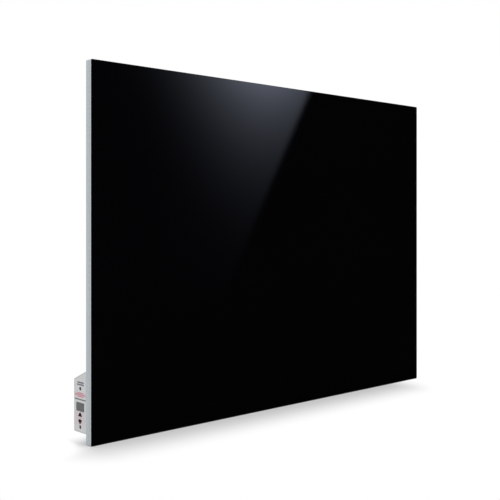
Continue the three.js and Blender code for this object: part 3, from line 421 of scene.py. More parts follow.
def metal(name, tint, grain_size, stretch, roughness, tarnish):
    """Bare or plated metal with a drawn grain and a slight bloom."""
    f = new_finish(name)
    place = f.millimetres()
    grain = f.noise(f.stretched(place, stretch), grain_size, 2)
    bloom = f.noise(place, 3.5, 3)
    edge = f.edges(0.2)
    body = f.mix(bloom.rise(0.35, 0.75), tuple(tint), shade(tint, tarnish))
    return f.close(
        Base_Color=f.mix(edge * 0.5, body, shade(tint, 1.2)),
        Metallic=0.95 - bloom * 0.1,
        Roughness=roughness + grain * 0.14 + bloom * 0.06,
        Normal=f.bump(grain, 0.2, 0.01),
    )


def matt_black(name, tint, roughness, grain):
    """Rubber or matt black plastic, greyed a little where it is rubbed."""
    f = new_finish(name)
    place = f.millimetres()
    grit = f.noise(place, grain, 2)
    dust = f.noise(place, 6, 4).rise(0.45, 0.85)
    edge = f.edges(0.3)
    body = f.mix(dust * 0.35, tuple(tint), shade(tint, 2.4))
    return f.close(
        Base_Color=f.mix(edge * 0.5, body, shade(tint, 2.8)),
        Roughness=roughness + grit * 0.12 - edge * 0.1,
        Normal=f.bump(grit, 0.3, 0.02),
    )


def insulation(name, tint, stripe_tint=None):
    """Wire insulation with a dull sheen, and a stripe along it where that has a colour."""
    f = new_finish(name)
    place = f.millimetres()
    mottle = f.noise(place, 2.2, 3)
    body = f.mix(mottle, shade(tint, 0.85), shade(tint, 1.15))
    if stripe_tint is not None:
        stripe = f.noise(f.stretched(place, (1, 1, 0.12)), 1.6, 0).rise(0.52, 0.56)
        body = f.mix(stripe, body, stripe_tint)
    return f.close(
        Base_Color=body,
        Roughness=0.42 + mottle * 0.16,
        Normal=f.bump(f.noise(place, 0.5, 1), 0.2, 0.02),
    )


def fibre_mat(name, tint):
    """Mineral wool: strands that run along the mat, with soft lumps under them."""
    f = new_finish(name)
    place = f.millimetres()
    strand = f.noise(f.stretched(place, (0.25, 1, 1)), 1.1, 4, 0.7)
    lump = f.noise(place, 11, 3)
    return f.close(
        Base_Color=f.mix(strand * 0.6 + lump * 0.4, shade(tint, 0.72), shade(tint, 1.15)),
        Roughness=0.88 + strand * 0.08,
        Normal=f.bump(strand + lump, 0.8, 0.3),
    )


def circuit_green(name, tint):
    """Solder mask with copper tracks showing through it."""
    f = new_finish(name)
    place = f.millimetres()
    _, across, _ = f.axes(place)
    warp = f.noise(place, 9, 0) * 3
    track_pitch = 1.6
    track = abs(f.maths("FRACT", (across + warp) / track_pitch) - 0.5)
    row = f.noise(f.stretched(place, (1, 0.6, 0.15)), 3, 0).rise(0.48, 0.52)
    mask = track.rise(0.16, 0.2) * row
    body = f.mix(mask, tuple(tint), shade(tint, 1.7))
    return f.close(
        Base_Color=f.mix(f.noise(place, 5, 2) * 0.3, body, shade(tint, 0.6)),
        Roughness=0.34 + f.noise(place, 2, 2) * 0.14,
        Normal=f.bump(mask, 0.3, 0.03),
    )


def box_mask(across, up, middle, half_width, low, high, soft=0.12):
    """1 inside a rectangle on the box's face, in millimetres, with a soft rim."""
    sides = (half_width - abs(across - middle)).rise(0, soft)
    return sides * (up - low).rise(0, soft) * (high - up).rise(0, soft)


def face_coordinates(f):
    """Places on the box's face: across it from the casing, and up from its bottom, in mm."""
    _, y, z = f.axes(f.millimetres())
    return y - box_low.y / MM, z - box_low.z / MM


# The label's printing, one layer over another. Each layer has its ink, how much of the film it
# covers, how much more where the film's grain stands up, the softness of its rims, and its
# rectangles: middle, half width, lower and upper edge in millimetres on the box's face.
PRINTING = (
    # The pale field round the display and the keys
    ("blush", 0.5, 0.0, 5, [(15.5, 14, 7, 30)]),
    # Blue-grey rules above the upper screw
    ("blue_ink", 0.8, 0.2, 0.12, [(14.0, 7.6, 64.5, 66.7), (14.4, 8.2, 61.6, 63.8)]),
    # The dark rule over the display
    ("grey_ink", 0.8, 0.2, 0.12, [(14.5, 13.1, 42.3, 44.3)]),
    # A tinted field, with a long red stripe on it and shorter ones above and below its middle
    ("blush", 0.6, 0.0, 0.6, [(15, 13.6, 45.9, 52.8)]),
    (
        "red_ink",
        0.62,
        0.25,
        0.12,
        [(15, 12.9, 48.5, 50.3), (14.2, 7.2, 46.4, 48.0), (14.2, 7.2, 50.8, 52.4)],
    ),
)


def printed_film(colours):
    """The label: pale film with plain ruled lines, a red band and a tinted field for the keys."""
    f = new_finish("printed_film")
    place = f.millimetres()
    across, up = face_coordinates(f)
    grain = f.noise(place, 0.5, 2)
    cloud = f.noise(place, 9, 2)
    body = f.mix(cloud, shade(colours.film, 0.96), shade(colours.film, 1.04))
    for ink, cover, grainy, soft, bars in PRINTING:
        mask = sum(box_mask(across, up, *bar, soft) for bar in bars)
        share = (mask * (cover + grain * grainy)).at_most(1)
        body = f.mix(share, body, tuple(getattr(colours, ink)))

    # A small red ring between the keys
    ring_middle, ring_rise, ring_radius, half_line = 15, 19.0, 1.05, 0.28
    sideways, upwards = across - ring_middle, up - ring_rise
    radius = f.maths("SQRT", sideways * sideways + upwards * upwards)
    mark = (half_line - abs(radius - ring_radius)).rise(0, 0.1)
    return f.close(
        Base_Color=f.mix(mark * 0.85, body, tuple(colours.red_ink)),
        Roughness=0.36 + grain * 0.12,
        Coat_Weight=0.12 + cloud * 0.1,
        Normal=f.bump(grain, 0.15, 0.01),
    )


def smoked_lens(colours):
    """The display window, with the unlit segments of three plain digits just showing."""
    f = new_finish("display_lens")
    across, up = face_coordinates(f)
    display_middle, digit_pitch = 15, 5.4
    half_bar, half_line, half_digit = 1.45, 0.3, 1.7
    segments = []
    for digit in (-1, 0, 1):
        middle = display_middle - digit * digit_pitch
        for level in (30.4, 33.4, 36.4):
            segments.append((middle, half_bar, level - half_line, level + half_line))
        for side in (-half_digit, half_digit):
            for low in (30.7, 33.7):
                segments.append((middle + side, half_line, low, low + 2.4))
    mask = sum(box_mask(across, up, *segment, 0.1) for segment in segments)
    haze = f.noise(f.millimetres(), 4, 3)
    base = f.mix(haze, shade(colours.lens, 0.9), shade(colours.lens, 1.12))
    return f.close(
        Base_Color=f.mix((mask * 0.35).at_most(1), base, shade(colours.lens, 0.55)),
        Roughness=0.12 + haze * 0.1,
        IOR=1.49,
        Normal=f.bump(haze, 0.05, 0.01),
    )


def make_finishes(colours):
    """Makes the finish of every slot in the record."""
    drawn_up, drawn_across = (1, 1, 6), (6, 1, 1)
    black_glass(colours)
    powder_coat("painted_steel", colours.paint)
    printed_film(colours)
    smoked_lens(colours)
    moulded("moulded_box", colours.box)
    moulded("key_plastic", colours.key, texture=0.12, roughness=0.4, edge_lift=2.6, gloss=0.08)
    moulded("silicone", (0.42, 0.46, 0.48), texture=1.2, roughness=0.5)
    moulded("blue_plastic", (0.02, 0.09, 0.38), texture=0.3, roughness=0.4, edge_lift=1.5)
    moulded("white_plastic", (0.72, 0.72, 0.69), texture=0.3, roughness=0.42)
    moulded("display_glass", (0.16, 0.18, 0.15), texture=0.6, roughness=0.2)
    metal("zinc_steel", colours.zinc, 0.3, drawn_up, roughness=0.26, tarnish=0.78)
    metal("dark_screw", colours.dark_screw, 0.2, drawn_across, roughness=0.34, tarnish=0.6)
    metal("brass", (0.6, 0.42, 0.15), 0.3, drawn_up, roughness=0.24, tarnish=0.7)
    metal("foil", (0.75, 0.76, 0.78), 1.2, (0.1, 1, 1), roughness=0.2, tarnish=0.85)
    matt_black("rubber", colours.rubber, roughness=0.7, grain=0.5)
    matt_black("black_plastic", colours.black, roughness=0.42, grain=0.25)
    insulation("cable_jacket", (0.26, 0.03, 0.02))
    insulation("brown_wire", (0.1, 0.035, 0.015))
    insulation("blue_wire", (0.025, 0.11, 0.42))
    insulation("green_wire", (0.08, 0.32, 0.04), stripe_tint=(0.75, 0.6, 0.04))
    fibre_mat("mineral_mat", (0.72, 0.69, 0.58))
    circuit_green("circuit_board", (0.01, 0.1, 0.04))


# ---- Outlines ------------------------------------------------------------------------------


def rounded(corners, radii, steps=8):
    """A closed outline whose corners are arcs. Radii is one number, or one per corner."""
    points = []
    count = len(corners)
    for i, corner in enumerate(corners):
        here = Vector(corner)
        radius = radii[i] if isinstance(radii, (list, tuple)) else radii
        if radius <= 0:
            points.append(here)
            continue
        before = (Vector(corners[i - 1]) - here).normalized()
        after = (Vector(corners[(i + 1) % count]) - here).normalized()
        half = before.angle(after) / 2
        centre = here + (before + after).normalized() * (radius / math.sin(half))
        start = here + before * (radius / math.tan(half)) - centre
        end = here + after * (radius / math.tan(half)) - centre
        sweep = math.pi - 2 * half
        for k in range(steps + 1):
            share = k / steps * sweep
            spoke = start * math.sin(sweep - share) + end * math.sin(share)
            points.append(centre + spoke / math.sin(sweep))
    return points


def rectangle(low, high, radius, inset=0.0, steps=8):
    x0, z0 = low[0] + inset, low[1] + inset
    x1, z1 = high[0] - inset, high[1] - inset
    corners = [(x0, z0), (x1, z0), (x1, z1), (x0, z1)]
    return rounded(corners, max(radius - inset, 0.05 * MM), steps)


def arc(middle, radii, start, end, steps):
    """Points on an arc of a circle, or of an upright ellipse with a pair of radii."""
    across, up = radii if isinstance(radii, tuple) else (radii, radii)
    angles = [start + (end - start) * k / steps for k in range(steps + 1)]
    return [Vector((middle[0] + across * math.cos(a), middle[1] + up * math.sin(a))) for a in angles]


def circle(middle, radius, steps=32, turn=0.0):
    return arc(middle, radius, turn, turn + 4 * QUARTER, steps)[:-1]


def stadium(middle, half_run, radius):
    """A long outline with round ends, level about its middle."""
    x, z = middle
    right = arc((x + half_run, z), radius, -QUARTER, QUARTER, 16)
    return right + arc((x - half_run, z), radius, QUARTER, 3 * QUARTER, 16)


def box_outline(sizes, inset=0.0):
    """The side of the thermostat box, inset all round: its top slopes down to the wall side."""
    front, back = box_low.y, plate_high.y
    bottom, top = plate_low.z, plate_high.z
    slope = (top - bottom - sizes.rear_rise) / (back - front)
    lower = inset * math.hypot(1, slope)
    level = lambda y: top - slope * (y - front) - lower
    y0, y1 = front + inset, back - inset
    corners = [(y0, bottom + inset), (y1, bottom + inset), (y1, level(y1)), (y0, level(y0))]
    near = sizes.casing_edge
    far = max(sizes.corner - inset, near)
    return rounded(corners, [near, far, far, near])


def key_base(sizes, up):
    """The middle of a key's base on the box's face, and the way that its apex points."""
    rise = sizes.key_up_rise if up else sizes.key_down_rise
    return Vector((face_middle, box_low.z + rise)), Vector((0, 1 if up else -1))


def key_outline(sizes, up, grow=0.0):
    """A triangular key, grown outward all round about its incentre."""
    half = sizes.key_width / 2
    height = sizes.key_height
    inradius = half * height / (half + math.hypot(half, height))
    base, way = key_base(sizes, up)
    middle = base + way * inradius
    scale = 1 + grow / inradius
    corners = [(-half, -inradius), (half, -inradius), (0, height - inradius)]
    placed = [middle + Vector((x, z * way.y)) * scale for x, z in corners]
    if not up:
        placed.reverse()
    return rounded(placed, max(sizes.key_round + grow, 0.12 * MM))


def display_outline(sizes, gap=0.0, inset=0.0):
    """The display's window, or the opening for it with a gap all round."""
    low = Vector((face_middle - sizes.display_width / 2, box_low.z + sizes.display_rise))
    high = low + Vector((sizes.display_width, sizes.display_height))
    return rectangle(low, high, sizes.display_corner + gap, inset - gap)


def fascia_screw_places(sizes):
    """Where the fascia's screws stand on the box's face, the lower one first."""
    rises = (sizes.low_screw_rise, sizes.high_screw_rise)
    return [(face_middle, box_low.z + rise) for rise in rises]


def middle_of(name):
    """The middle of a CAD node's box."""
    low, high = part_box(name)
    return (low + high) / 2


# ---- Meshes --------------------------------------------------------------------------------

# How an outline drawn on paper lies across each axis.
LAY = {
    "x": lambda p, level: (level, p[0], p[1]),
    "y": lambda p, level: (p[0], level, p[1]),
    "z": lambda p, level: (p[0], p[1], level),
}


def ring(bm, outline, axis, level):
    return [bm.verts.new(LAY[axis](point, level)) for point in outline]


def ring_along(bm, outline, height, place, along):
    """A ring across a line through a place, at a height along the line."""
    turn = Vector((0, 0, 1)).rotation_difference(Vector(along)).to_matrix()
    return [bm.verts.new(Vector(place) + turn @ Vector((*point, height))) for point in outline]


def skin(bm, *rings):
    """Bands of faces from ring to ring. A ring of one point is a tip."""
    for first, second in zip(rings, rings[1:]):
        count = max(len(first), len(second))
        for i in range(count):
            j = (i + 1) % count
            here, there = len(first), len(second)
            corners = first[i % here], first[j % here], second[j % there], second[i % there]
            bm.faces.new(tuple(dict.fromkeys(corners)))


def cap(bm, outer, *holes):
    """A flat cap over a ring, open at the holes."""
    if not holes:
        bm.faces.new(outer)
        return
    rings = [outer, *holes]
    verts = [vert for one in rings for vert in one]
    for triangle in tessellate_polygon([[v.co for v in one] for one in rings]):
        bm.faces.new([verts[i] for i in triangle])


def rim_steps(edge, count=4):
    """Insets and depths of a rounded rim, from the flat face round to the side."""
    if not edge:
        return [(0.0, 0.0)]
    turns = [QUARTER * k / count for k in range(count + 1)]
    return [(edge * (1 - math.sin(t)), edge * (1 - math.cos(t))) for t in turns]


def side_levels(edge, low, high, count=4):
    """Insets and levels from one face of a plate to the other, round both its rims."""
    steps = rim_steps(edge, count)
    rise = [(inset, low + depth) for inset, depth in steps]
    return rise + [(inset, high - depth) for inset, depth in reversed(steps)]


def plate(bm, outer, axis, low, high, edge=0.0, holes=(), hole_edge=0.0):
    """A plate between two levels with rounded rims. Outer is an outline or gives one per inset.

    A hole gives an outline per inset too. One that narrows is (wide, narrow, level)."""
    shape = outer if callable(outer) else lambda inset: outer
    side = [ring(bm, shape(inset), axis, level) for inset, level in side_levels(edge, low, high)]
    skin(bm, *side)
    low_rings, high_rings = [side[0]], [side[-1]]
    levels = side_levels(hole_edge, low, high)
    half = len(levels) // 2
    for hole in holes:
        wide, narrow, step = hole if isinstance(hole, tuple) else (hole, hole, None)
        bore = [ring(bm, wide(inset), axis, level) for inset, level in levels[:half]]
        if step is not None:
            bore += [ring(bm, wide(0), axis, step), ring(bm, narrow(0), axis, step)]
        bore += [ring(bm, narrow(inset), axis, level) for inset, level in levels[half:]]
        skin(bm, *bore)
        low_rings.append(bore[0])
        high_rings.append(bore[-1])
    cap(bm, *low_rings)
    cap(bm, *high_rings)


def block(*shape):
    """A mesh of its own with one plate in it, given as plate takes it."""
    bm = bmesh.new()
    plate(bm, *shape)
    return bm


def turned(profile, place, along, steps=48):
    """A closed profile of (radius, height) pairs turned about a line through a place."""
    bm = bmesh.new()
    rings = []
    for radius, height in profile:
        outline = circle((0, 0), radius, steps) if radius > 0 else [(0, 0)]
        rings.append(ring_along(bm, outline, height, place, along))
    skin(bm, *rings)
    return bm


def new_object(name, data):
    """An object in the scene's own collection."""
    item = bpy.data.objects.new(name, data)
    bpy.context.scene.collection.objects.link(item)
    return item


def mesh_object(name, bm):
    """An object of a mesh whose faces are turned outward."""
    bmesh.ops.recalc_face_normals(bm, faces=bm.faces)
    mesh = bpy.data.meshes.new(name)
    bm.to_mesh(mesh)
    bm.free()
    return new_object(name, mesh)


def even_shading(piece, smooth=35.0):
    """Smooth shading that keeps sharp edges sharp and flat faces flat."""
    piece.data.shade_smooth()
    piece.data.set_sharp_from_angle(angle=math.radians(smooth))
    even = piece.modifiers.new("even_shading", "WEIGHTED_NORMAL")
    even.keep_sharp = True
    even.weight = 100
    return piece


def finished(name, bm, slot, node, body=BODY):
    """Turns a mesh into a piece that rides on a body and stands for a CAD node."""
    bmesh.ops.remove_doubles(bm, verts=bm.verts, dist=1e-7)
    piece = mesh_object(name, bm)
    piece.data.materials.append(finish_of(slot))
    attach(piece, body)
    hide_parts(node)
    return even_shading(piece)


def carve(piece, tools, operation="DIFFERENCE", smooth=35.0):
    """Cuts or joins meshes into a piece, one after another, and applies the result."""
    piece.modifiers.clear()
    for bm in tools:
        tool = mesh_object("tool", bm)
        modifier = piece.modifiers.new("carve", "BOOLEAN")
        modifier.operation = operation
        modifier.solver = "EXACT"
        modifier.object = tool
        bpy.context.view_layer.update()
        graph = bpy.context.evaluated_depsgraph_get()
        result = bpy.data.meshes.new_from_object(piece.evaluated_get(graph))
        piece.modifiers.clear()
        piece.data = result
        bpy.data.objects.remove(tool)
    return even_shading(piece, smooth)


# ---- Glass and casing ----------------------------------------------------------------------


def glass_outline(sizes, inset):
    return rectangle(glass_low.xz, glass_high.xz, sizes.glass_corner, inset)


def build_glass(sizes):
    outer = lambda inset: glass_outline(sizes, inset)
    pane = block(outer, "y", glass_low.y, glass_high.y, sizes.glass_arris)
    return finished("glass_pane", pane, "black_glass", "front_glass")


def build_seal(sizes):
    """The bead that bonds the glass to the casing's lip, squeezed out evenly all round."""
    outer = lambda inset: glass_outline(sizes, sizes.seal_setback + inset)
    inside = lambda grow: glass_outline(sizes, sizes.seal_setback + sizes.seal_width - grow)
    bead = block(outer, "y", seal_low.y, seal_high.y, 0.2 * MM, [inside])
    return finished("bond_bead", bead, "silicone", "glass_seal")


def casing_holes(sizes):
    """Places and radii of the holes in the casing's back, from what goes through them."""
    screws = [name for name in NODES if name.startswith(CASING_SCREWS)]
    holes = [(middle_of(name).xz, sizes.screw_hole) for name in screws]
    return [*holes, (middle_of("lead_grommet").xz, sizes.neck_hole)]


def pressed_bead(bm, sizes, middle, level, shrink):
    """One face of a pressed bead, whose flank runs out softly. Gives the ring at its foot."""
    steps = 6
    half_run = sizes.bead_length / 2 - sizes.bead_half_width
    rings = []
    for share in [k / steps for k in range(steps + 1)]:
        height = sizes.bead_height * share * share * (3 - 2 * share)
        radius = sizes.bead_half_width - shrink - sizes.bead_draft * share
        rings.append(ring(bm, stadium(middle, half_run, radius), "y", level + height))
    skin(bm, *rings)
    cap(bm, rings[-1])
    return rings[0]


def build_casing(sizes):
    """The tray: folded walls and lip, and a back with pressed beads, as one sheet of steel."""
    bm = bmesh.new()
    sheet, lip = sizes.casing_sheet, sizes.casing_lip
    front, back = tray_low.y, tray_high.y - sizes.bead_height
    folds = side_levels(sizes.casing_fold, front, back)
    inner_folds = side_levels(sizes.casing_fold - sheet, front + sheet, back - sheet, 2)
    path = [*reversed(folds), (lip, front), (lip, front + sheet)]
    path += [(sheet + inset, level) for inset, level in inner_folds]
    outline = lambda inset: rectangle(tray_low.xz, tray_high.xz, sizes.casing_corner, inset)
    rings = [ring(bm, outline(inset), "y", level) for inset, level in path]
    skin(bm, *rings)

    # The two faces of the back: their level, how much narrower a bead is, and their rings
    faces = [(back, 0.0, [rings[0]]), (back - sheet, sheet * 0.6, [rings[-1]])]
    for place, radius in casing_holes(sizes):
        pair = [ring(bm, circle(place, radius, 24), "y", level) for level, _, _ in faces]
        skin(bm, *pair)
        for (_, _, found), foot in zip(faces, pair):
            found.append(foot)
    centre = (tray_low.z + tray_high.z) / 2
    for i in (-1, 0, 1):
        middle = (0.0, centre + i * sizes.bead_pitch)
        for level, shrink, found in faces:
            found.append(pressed_bead(bm, sizes, middle, level, shrink))
    for _, _, found in faces:
        cap(bm, *found)
    return finished("casing_tray", bm, "painted_steel", "rear_casing")


# ---- Brackets, bumpers and screws ----------------------------------------------------------


def rounded_path(corners, radius):
    """An open line whose inner corners are arcs."""
    points = [Vector(corners[0])]
    for trio in zip(corners, corners[1:], corners[2:]):
        points += rounded(trio, [0, radius, 0])[1:-1]
    return [*points, Vector(corners[-1])]


def hat_outline(low, high, sizes, inset=0.0):
    """A hat section on edge: feet on the casing, legs, and a web against the wall."""
    sheet = sizes.bracket_sheet
    foot = sizes.bracket_foot
    middle_low, middle_high = low.y + sheet / 2, high.y - sheet / 2
    left, right = low.x + foot + sheet / 2, high.x - foot - sheet / 2
    line = [
        (low.x + inset, middle_low),
        (left, middle_low),
        (left, middle_high),
        (right, middle_high),
        (right, middle_low),
        (high.x - inset, middle_low),
    ]
    path = rounded_path(line, sizes.bracket_bend)
    outward = []
    for before, after in zip([path[0], *path], [*path[1:], path[-1]]):
        along = (after - before).normalized()
        outward.append(Vector((-along.y, along.x)) * (sheet / 2 - inset))
    under = [point - step for point, step in zip(path, outward)]
    over = [point + step for point, step in zip(path, outward)]
    return under + over[::-1]


def keyhole(sizes, x, z):
    """A keyhole about its middle: a round entry with a slot that rises from it."""
    entry, half_slot = sizes.keyhole_entry, sizes.keyhole_slot
    rise = sizes.keyhole_rise / 2
    meeting = math.acos(half_slot / entry)
    round_part = arc((x, z - rise), entry, meeting, -2 * QUARTER - meeting, 32)
    return round_part + arc((x, z + rise), half_slot, 2 * QUARTER, 0, 16)


def build_bracket(name, sizes, hanger):
    low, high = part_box(name)
    outer = lambda inset: hat_outline(low, high, sizes, inset)
    strip = block(outer, "z", low.z, high.z, 0.2 * MM)
    piece = finished(name + "_steel", strip, "painted_steel", name)
    x, z = middle_of(name).xz
    foot_x = (high.x - low.x) / 2 - sizes.bracket_foot / 2
    cuts = []
    for side in (-foot_x, foot_x):
        hole = circle((x + side, z), sizes.screw_hole, 24)
        cuts.append(block(hole, "y", low.y - PAST, low.y + sizes.bracket_sheet + PAST))
    opening = keyhole(sizes, x, z) if hanger else circle((x, z), sizes.bumper_hole)
    cuts.append(block(opening, "y", high.y - sizes.bracket_sheet - PAST, high.y + PAST))
    return carve(piece, cuts)


def build_bumper(name, sizes):
    """A rubber foot with a ring pressed in its face, held by a barbed stem."""
    low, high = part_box(name)
    radius = (high.x - low.x) / 2
    edge = sizes.bumper_edge
    head, stem, barb, tail = 2.5 * MM, 3 * MM, 1 * MM, low.y - high.y
    barb_level = -head - 1.75 * MM
    chamfer, taper, groove, sink = 0.3 * MM, 0.8 * MM, 0.5 * MM, 0.1 * MM
    profile = [
        (0, tail),
        (stem - taper, tail),
        (stem + barb, barb_level),
        (stem, barb_level),
        (stem, -head),
        (radius - chamfer, -head),
        (radius, -head + chamfer),
        *arc((radius - edge, -edge), edge, 0, QUARTER, 6),
        (radius * 0.62, 0),
        (radius * 0.56, -groove),
        (radius * 0.3, -groove),
        (radius * 0.24, -sink),
        (0, -sink),
    ]
    middle = middle_of(name)
    bm = turned(profile, (middle.x, high.y, middle.z), (0, 1, 0))
    return finished(name + "_rubber", bm, "rubber", name)


def screw_profile(head, dome, shank, grip):
    """Half of a pan-head screw: tip, shank, and a head whose crown is a flat dome."""
    side = dome * 0.45
    seat_round = 0.15 * MM
    return [
        (0, -grip),
        (shank * 0.75, -grip),
        (shank, -grip + shank * 0.3),
        (shank, 0),
        (head - seat_round, 0),
        (head, seat_round),
        *arc((0, side), (head, dome - side), 0, QUARTER, 8)[:-1],
        (0, dome),
    ]


def cross_recess(place, along, reach, depth, width):
    """A tapered cross for a screwdriver, sunk into a head from its top."""
    bm = bmesh.new()
    rings = []
    for height, scale in ((0.3 * MM, 1.15), (-depth, 0.5)):
        arm, half = reach * scale, width / 2 * (0.6 + 0.4 * scale)
        points = []
        for quarter in range(4):
            axis = Vector((math.cos(quarter * QUARTER), math.sin(quarter * QUARTER)))
            side = Vector((-axis.y, axis.x)) * half
            points += [axis * arm - side, axis * arm + side, axis * half + side]
        rings.append(ring_along(bm, points, height, place, along))
    skin(bm, *rings)
    for end in rings:
        cap(bm, end)
    return bm


def build_screw(name, slot, head, dome, shank, seat, along):
    """A pan-head screw with a cross recess, its seat at a place and its head along a line."""
    low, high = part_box(name)
    axis = 0 if along[0] else 1
    grip = high[axis] - low[axis] - dome
    bm = turned(screw_profile(head, dome, shank, grip), seat, along, 40)
    piece = finished(name + "_head", bm, slot, name)
    top = Vector(seat) + Vector(along) * dome
    recess = cross_recess(top, along, head * 0.52, dome * 0.62, head * 0.24)
    return carve(piece, [recess], smooth=30)


def build_screws(sizes):
    """The casing's screws, whose heads point to the wall, and the fascia's, which point left."""
    dome = 2.2 * MM
    for name in sorted(NODES):
        if name.startswith(CASING_SCREWS):
            middle = middle_of(name)
            seat = (middle.x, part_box(name)[1].y - dome, middle.z)
            build_screw(name, "zinc_steel", 3.6 * MM, dome, 2 * MM, seat, (0, 1, 0))
        if name.startswith("fascia_screw"):
            depth = sizes.well_depth
            seat = (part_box(name)[0].x + depth, *middle_of(name).yz)
            build_screw(name, "dark_screw", 2.2 * MM, depth, 1.1 * MM, seat, (-1, 0, 0))


# ---- Thermostat box ------------------------------------------------------------------------


def post_shapes(sizes, board_back, end):
    """Posts that the fascia's screws bite into and that the board sits on, with their webs."""
    tip_radius, post_radius, half_web = 2.5 * MM, 3.5 * MM, 1 * MM
    shoulder = board_back + 0.1 * MM
    inner = sizes.wall / 2
    ceiling = plate_high.z - (plate_high.z - box_low.z - sizes.rear_rise) / 2 - inner
    shapes = []
    for place, wall_level in zip(fascia_screw_places(sizes), (box_low.z + inner, ceiling)):
        y, z = place
        tip = (tip_radius, box_low.x, shoulder + MM)
        for radius, start, finish in (tip, (post_radius, shoulder, end - inner)):
            outline = lambda inset: circle(place, radius - inset)
            shapes.append(block(outline, "x", start, finish, 0.15 * MM))
        low, high = sorted((z, wall_level))
        web = rectangle((y - half_web, low), (y + half_web, high), 0.1 * MM)
        shapes.append(block(web, "x", shoulder, end - inner))
    return shapes


def shelf_shape(sizes, end):
    """The shelf that carries the terminal block."""
    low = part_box("terminal_block")[0]
    inner, thickness = sizes.wall / 2, 2 * MM
    sides = (box_low.y + inner, low.z - thickness), (plate_high.y - inner, low.z)
    return block(rectangle(*sides, 0.1 * MM), "x", low.x - MM, end - inner)


def tab_shapes(sizes, end):
    """The foot and the ear, two flat tabs on the casing that the housing screws pass through."""
    ear_middle = middle_of("housing_screw_3").x
    foot_rise, foot_top, foot_overlap = 3 * MM, 66 * MM, 3 * MM
    ear_half_width, ear_overlap = 7 * MM, 4 * MM
    corners = [
        ((end - foot_overlap, box_low.z + foot_rise), (box_high.x, box_low.z + foot_top)),
        (
            (ear_middle - ear_half_width, plate_high.z - ear_overlap),
            (ear_middle + ear_half_width, box_high.z),
        ),
    ]
    shapes = []
    for low, high in corners:
        tab = lambda inset: rectangle(low, high, 3 * MM, inset)
        shapes.append(block(tab, "y", box_low.y, box_low.y + sizes.tab_sheet, 0.3 * MM))
    return shapes


def housing_cuts(sizes, panel, board_back, end):
    """Pilot holes in the posts, vents in the floor, and holes for gland, leads and screws."""
    pilot_depth, vent_length, vent_pitch, half_vent = 14 * MM, 14 * MM, 5 * MM, 0.8 * MM
    cuts = []
    for place in fascia_screw_places(sizes):
        pilot = circle(place, sizes.shank_hole, 20)
        cuts.append(block(pilot, "x", box_low.x - PAST, box_low.x + pilot_depth))
    start = board_back + 2 * MM
    for i in range(4):
        y = face_middle + (i - 1.5) * vent_pitch
        sides = (start, y - half_vent), (start + vent_length, y + half_vent)
        vent = rectangle(*sides, 0.75 * MM, 0, 4)
        cuts.append(block(vent, "z", box_low.z - PAST, box_low.z + sizes.wall + PAST))
    gland_hole = circle(middle_of("supply_gland").yz, sizes.gland_hole, 40)
    cuts.append(block(gland_hole, "x", end - sizes.wall - PAST, end + PAST))
    holes = [("lead_grommet", panel.neck_hole, 32, sizes.wall)]
    holes += [(f"housing_screw_{i}", panel.screw_hole, 24, sizes.tab_sheet) for i in (1, 2, 3)]
    for name, radius, steps, depth in holes:
        hole = circle(middle_of(name).xz, radius, steps)
        cuts.append(block(hole, "y", box_low.y - PAST, box_low.y + depth + PAST))
    return cuts


def build_housing(sizes, panel):
    """The moulded box: an open shell with a foot and an ear that are screwed to the casing."""
    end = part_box("gland_nut")[1].x + sizes.wall
    board_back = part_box("control_board")[1].x
    outer = lambda inset: box_outline(sizes, inset)
    shell = block(outer, "x", box_low.x, end, sizes.edge)
    piece = finished("housing_shell", shell, "moulded_box", "control_housing")
    carve(piece, tab_shapes(sizes, end), "UNION")
    cavity = box_outline(sizes, sizes.wall)
    carve(piece, [block(cavity, "x", box_low.x - PAST, end - sizes.wall)])
    inside = [*post_shapes(sizes, board_back, end), shelf_shape(sizes, end)]
    carve(piece, inside, "UNION")
    return carve(piece, housing_cuts(sizes, panel, board_back, end))


def face_holes(sizes, stepped):
    """The openings that the fascia and the label share, with stepped wells in the fascia."""
    gap = sizes.key_gap
    holes = [
        lambda grow: display_outline(sizes, gap, -grow),
        lambda grow: key_outline(sizes, True, gap + grow),
        lambda grow: key_outline(sizes, False, gap + grow),
    ]
    for place in fascia_screw_places(sizes):
        well = lambda grow, place=place: circle(place, sizes.screw_well + grow)
        shank = lambda grow, place=place: circle(place, sizes.shank_hole + grow)
        holes.append((well, shank, plate_low.x + sizes.well_depth) if stepped else well)
    return holes


def build_fascia(sizes):
    """The face of the box: a moulded plate with its openings and counterbored screw wells."""
    end = plate_low.x + 2 * MM
    overlap, rim_depth, rim_wall = 0.5 * MM, 2 * MM, 1.2 * MM
    tube_radius, tube_bore = 3.65 * MM, 2.75 * MM
    outer = lambda inset: box_outline(sizes, inset)
    face = block(outer, "x", plate_low.x, end, 0.3 * MM, face_holes(sizes, True), 0.1 * MM)
    piece = finished("fascia_moulding", face, "moulded_box", "fascia_plate")
    rim_start = sizes.wall + 0.3 * MM
    ridge = lambda inset: box_outline(sizes, rim_start + inset)
    inside = lambda grow: box_outline(sizes, rim_start + rim_wall - grow)
    joined = [block(ridge, "x", end - overlap, end + rim_depth, 0.2 * MM, [inside])]
    for place in fascia_screw_places(sizes):
        outside = lambda inset: circle(place, tube_radius - inset)
        bore = lambda grow: circle(place, tube_bore + grow)
        joined.append(block(outside, "x", end - overlap, plate_high.x, 0.15 * MM, [bore]))
    carve(piece, joined, "UNION")
    recess = box_outline(sizes, sizes.label_margin - 0.25 * MM)
    return carve(piece, [block(recess, "x", plate_low.x - PAST, label_high.x)])


def build_label(sizes):
    outer = lambda inset: box_outline(sizes, sizes.label_margin + inset)
    wider = 0.12 * MM
    holes = [lambda grow, hole=hole: hole(grow + wider) for hole in face_holes(sizes, False)]
    film = block(outer, "x", label_low.x, label_high.x - 0.02 * MM, 0.05 * MM, holes)
    return finished("fascia_film", film, "printed_film", "fascia_label")


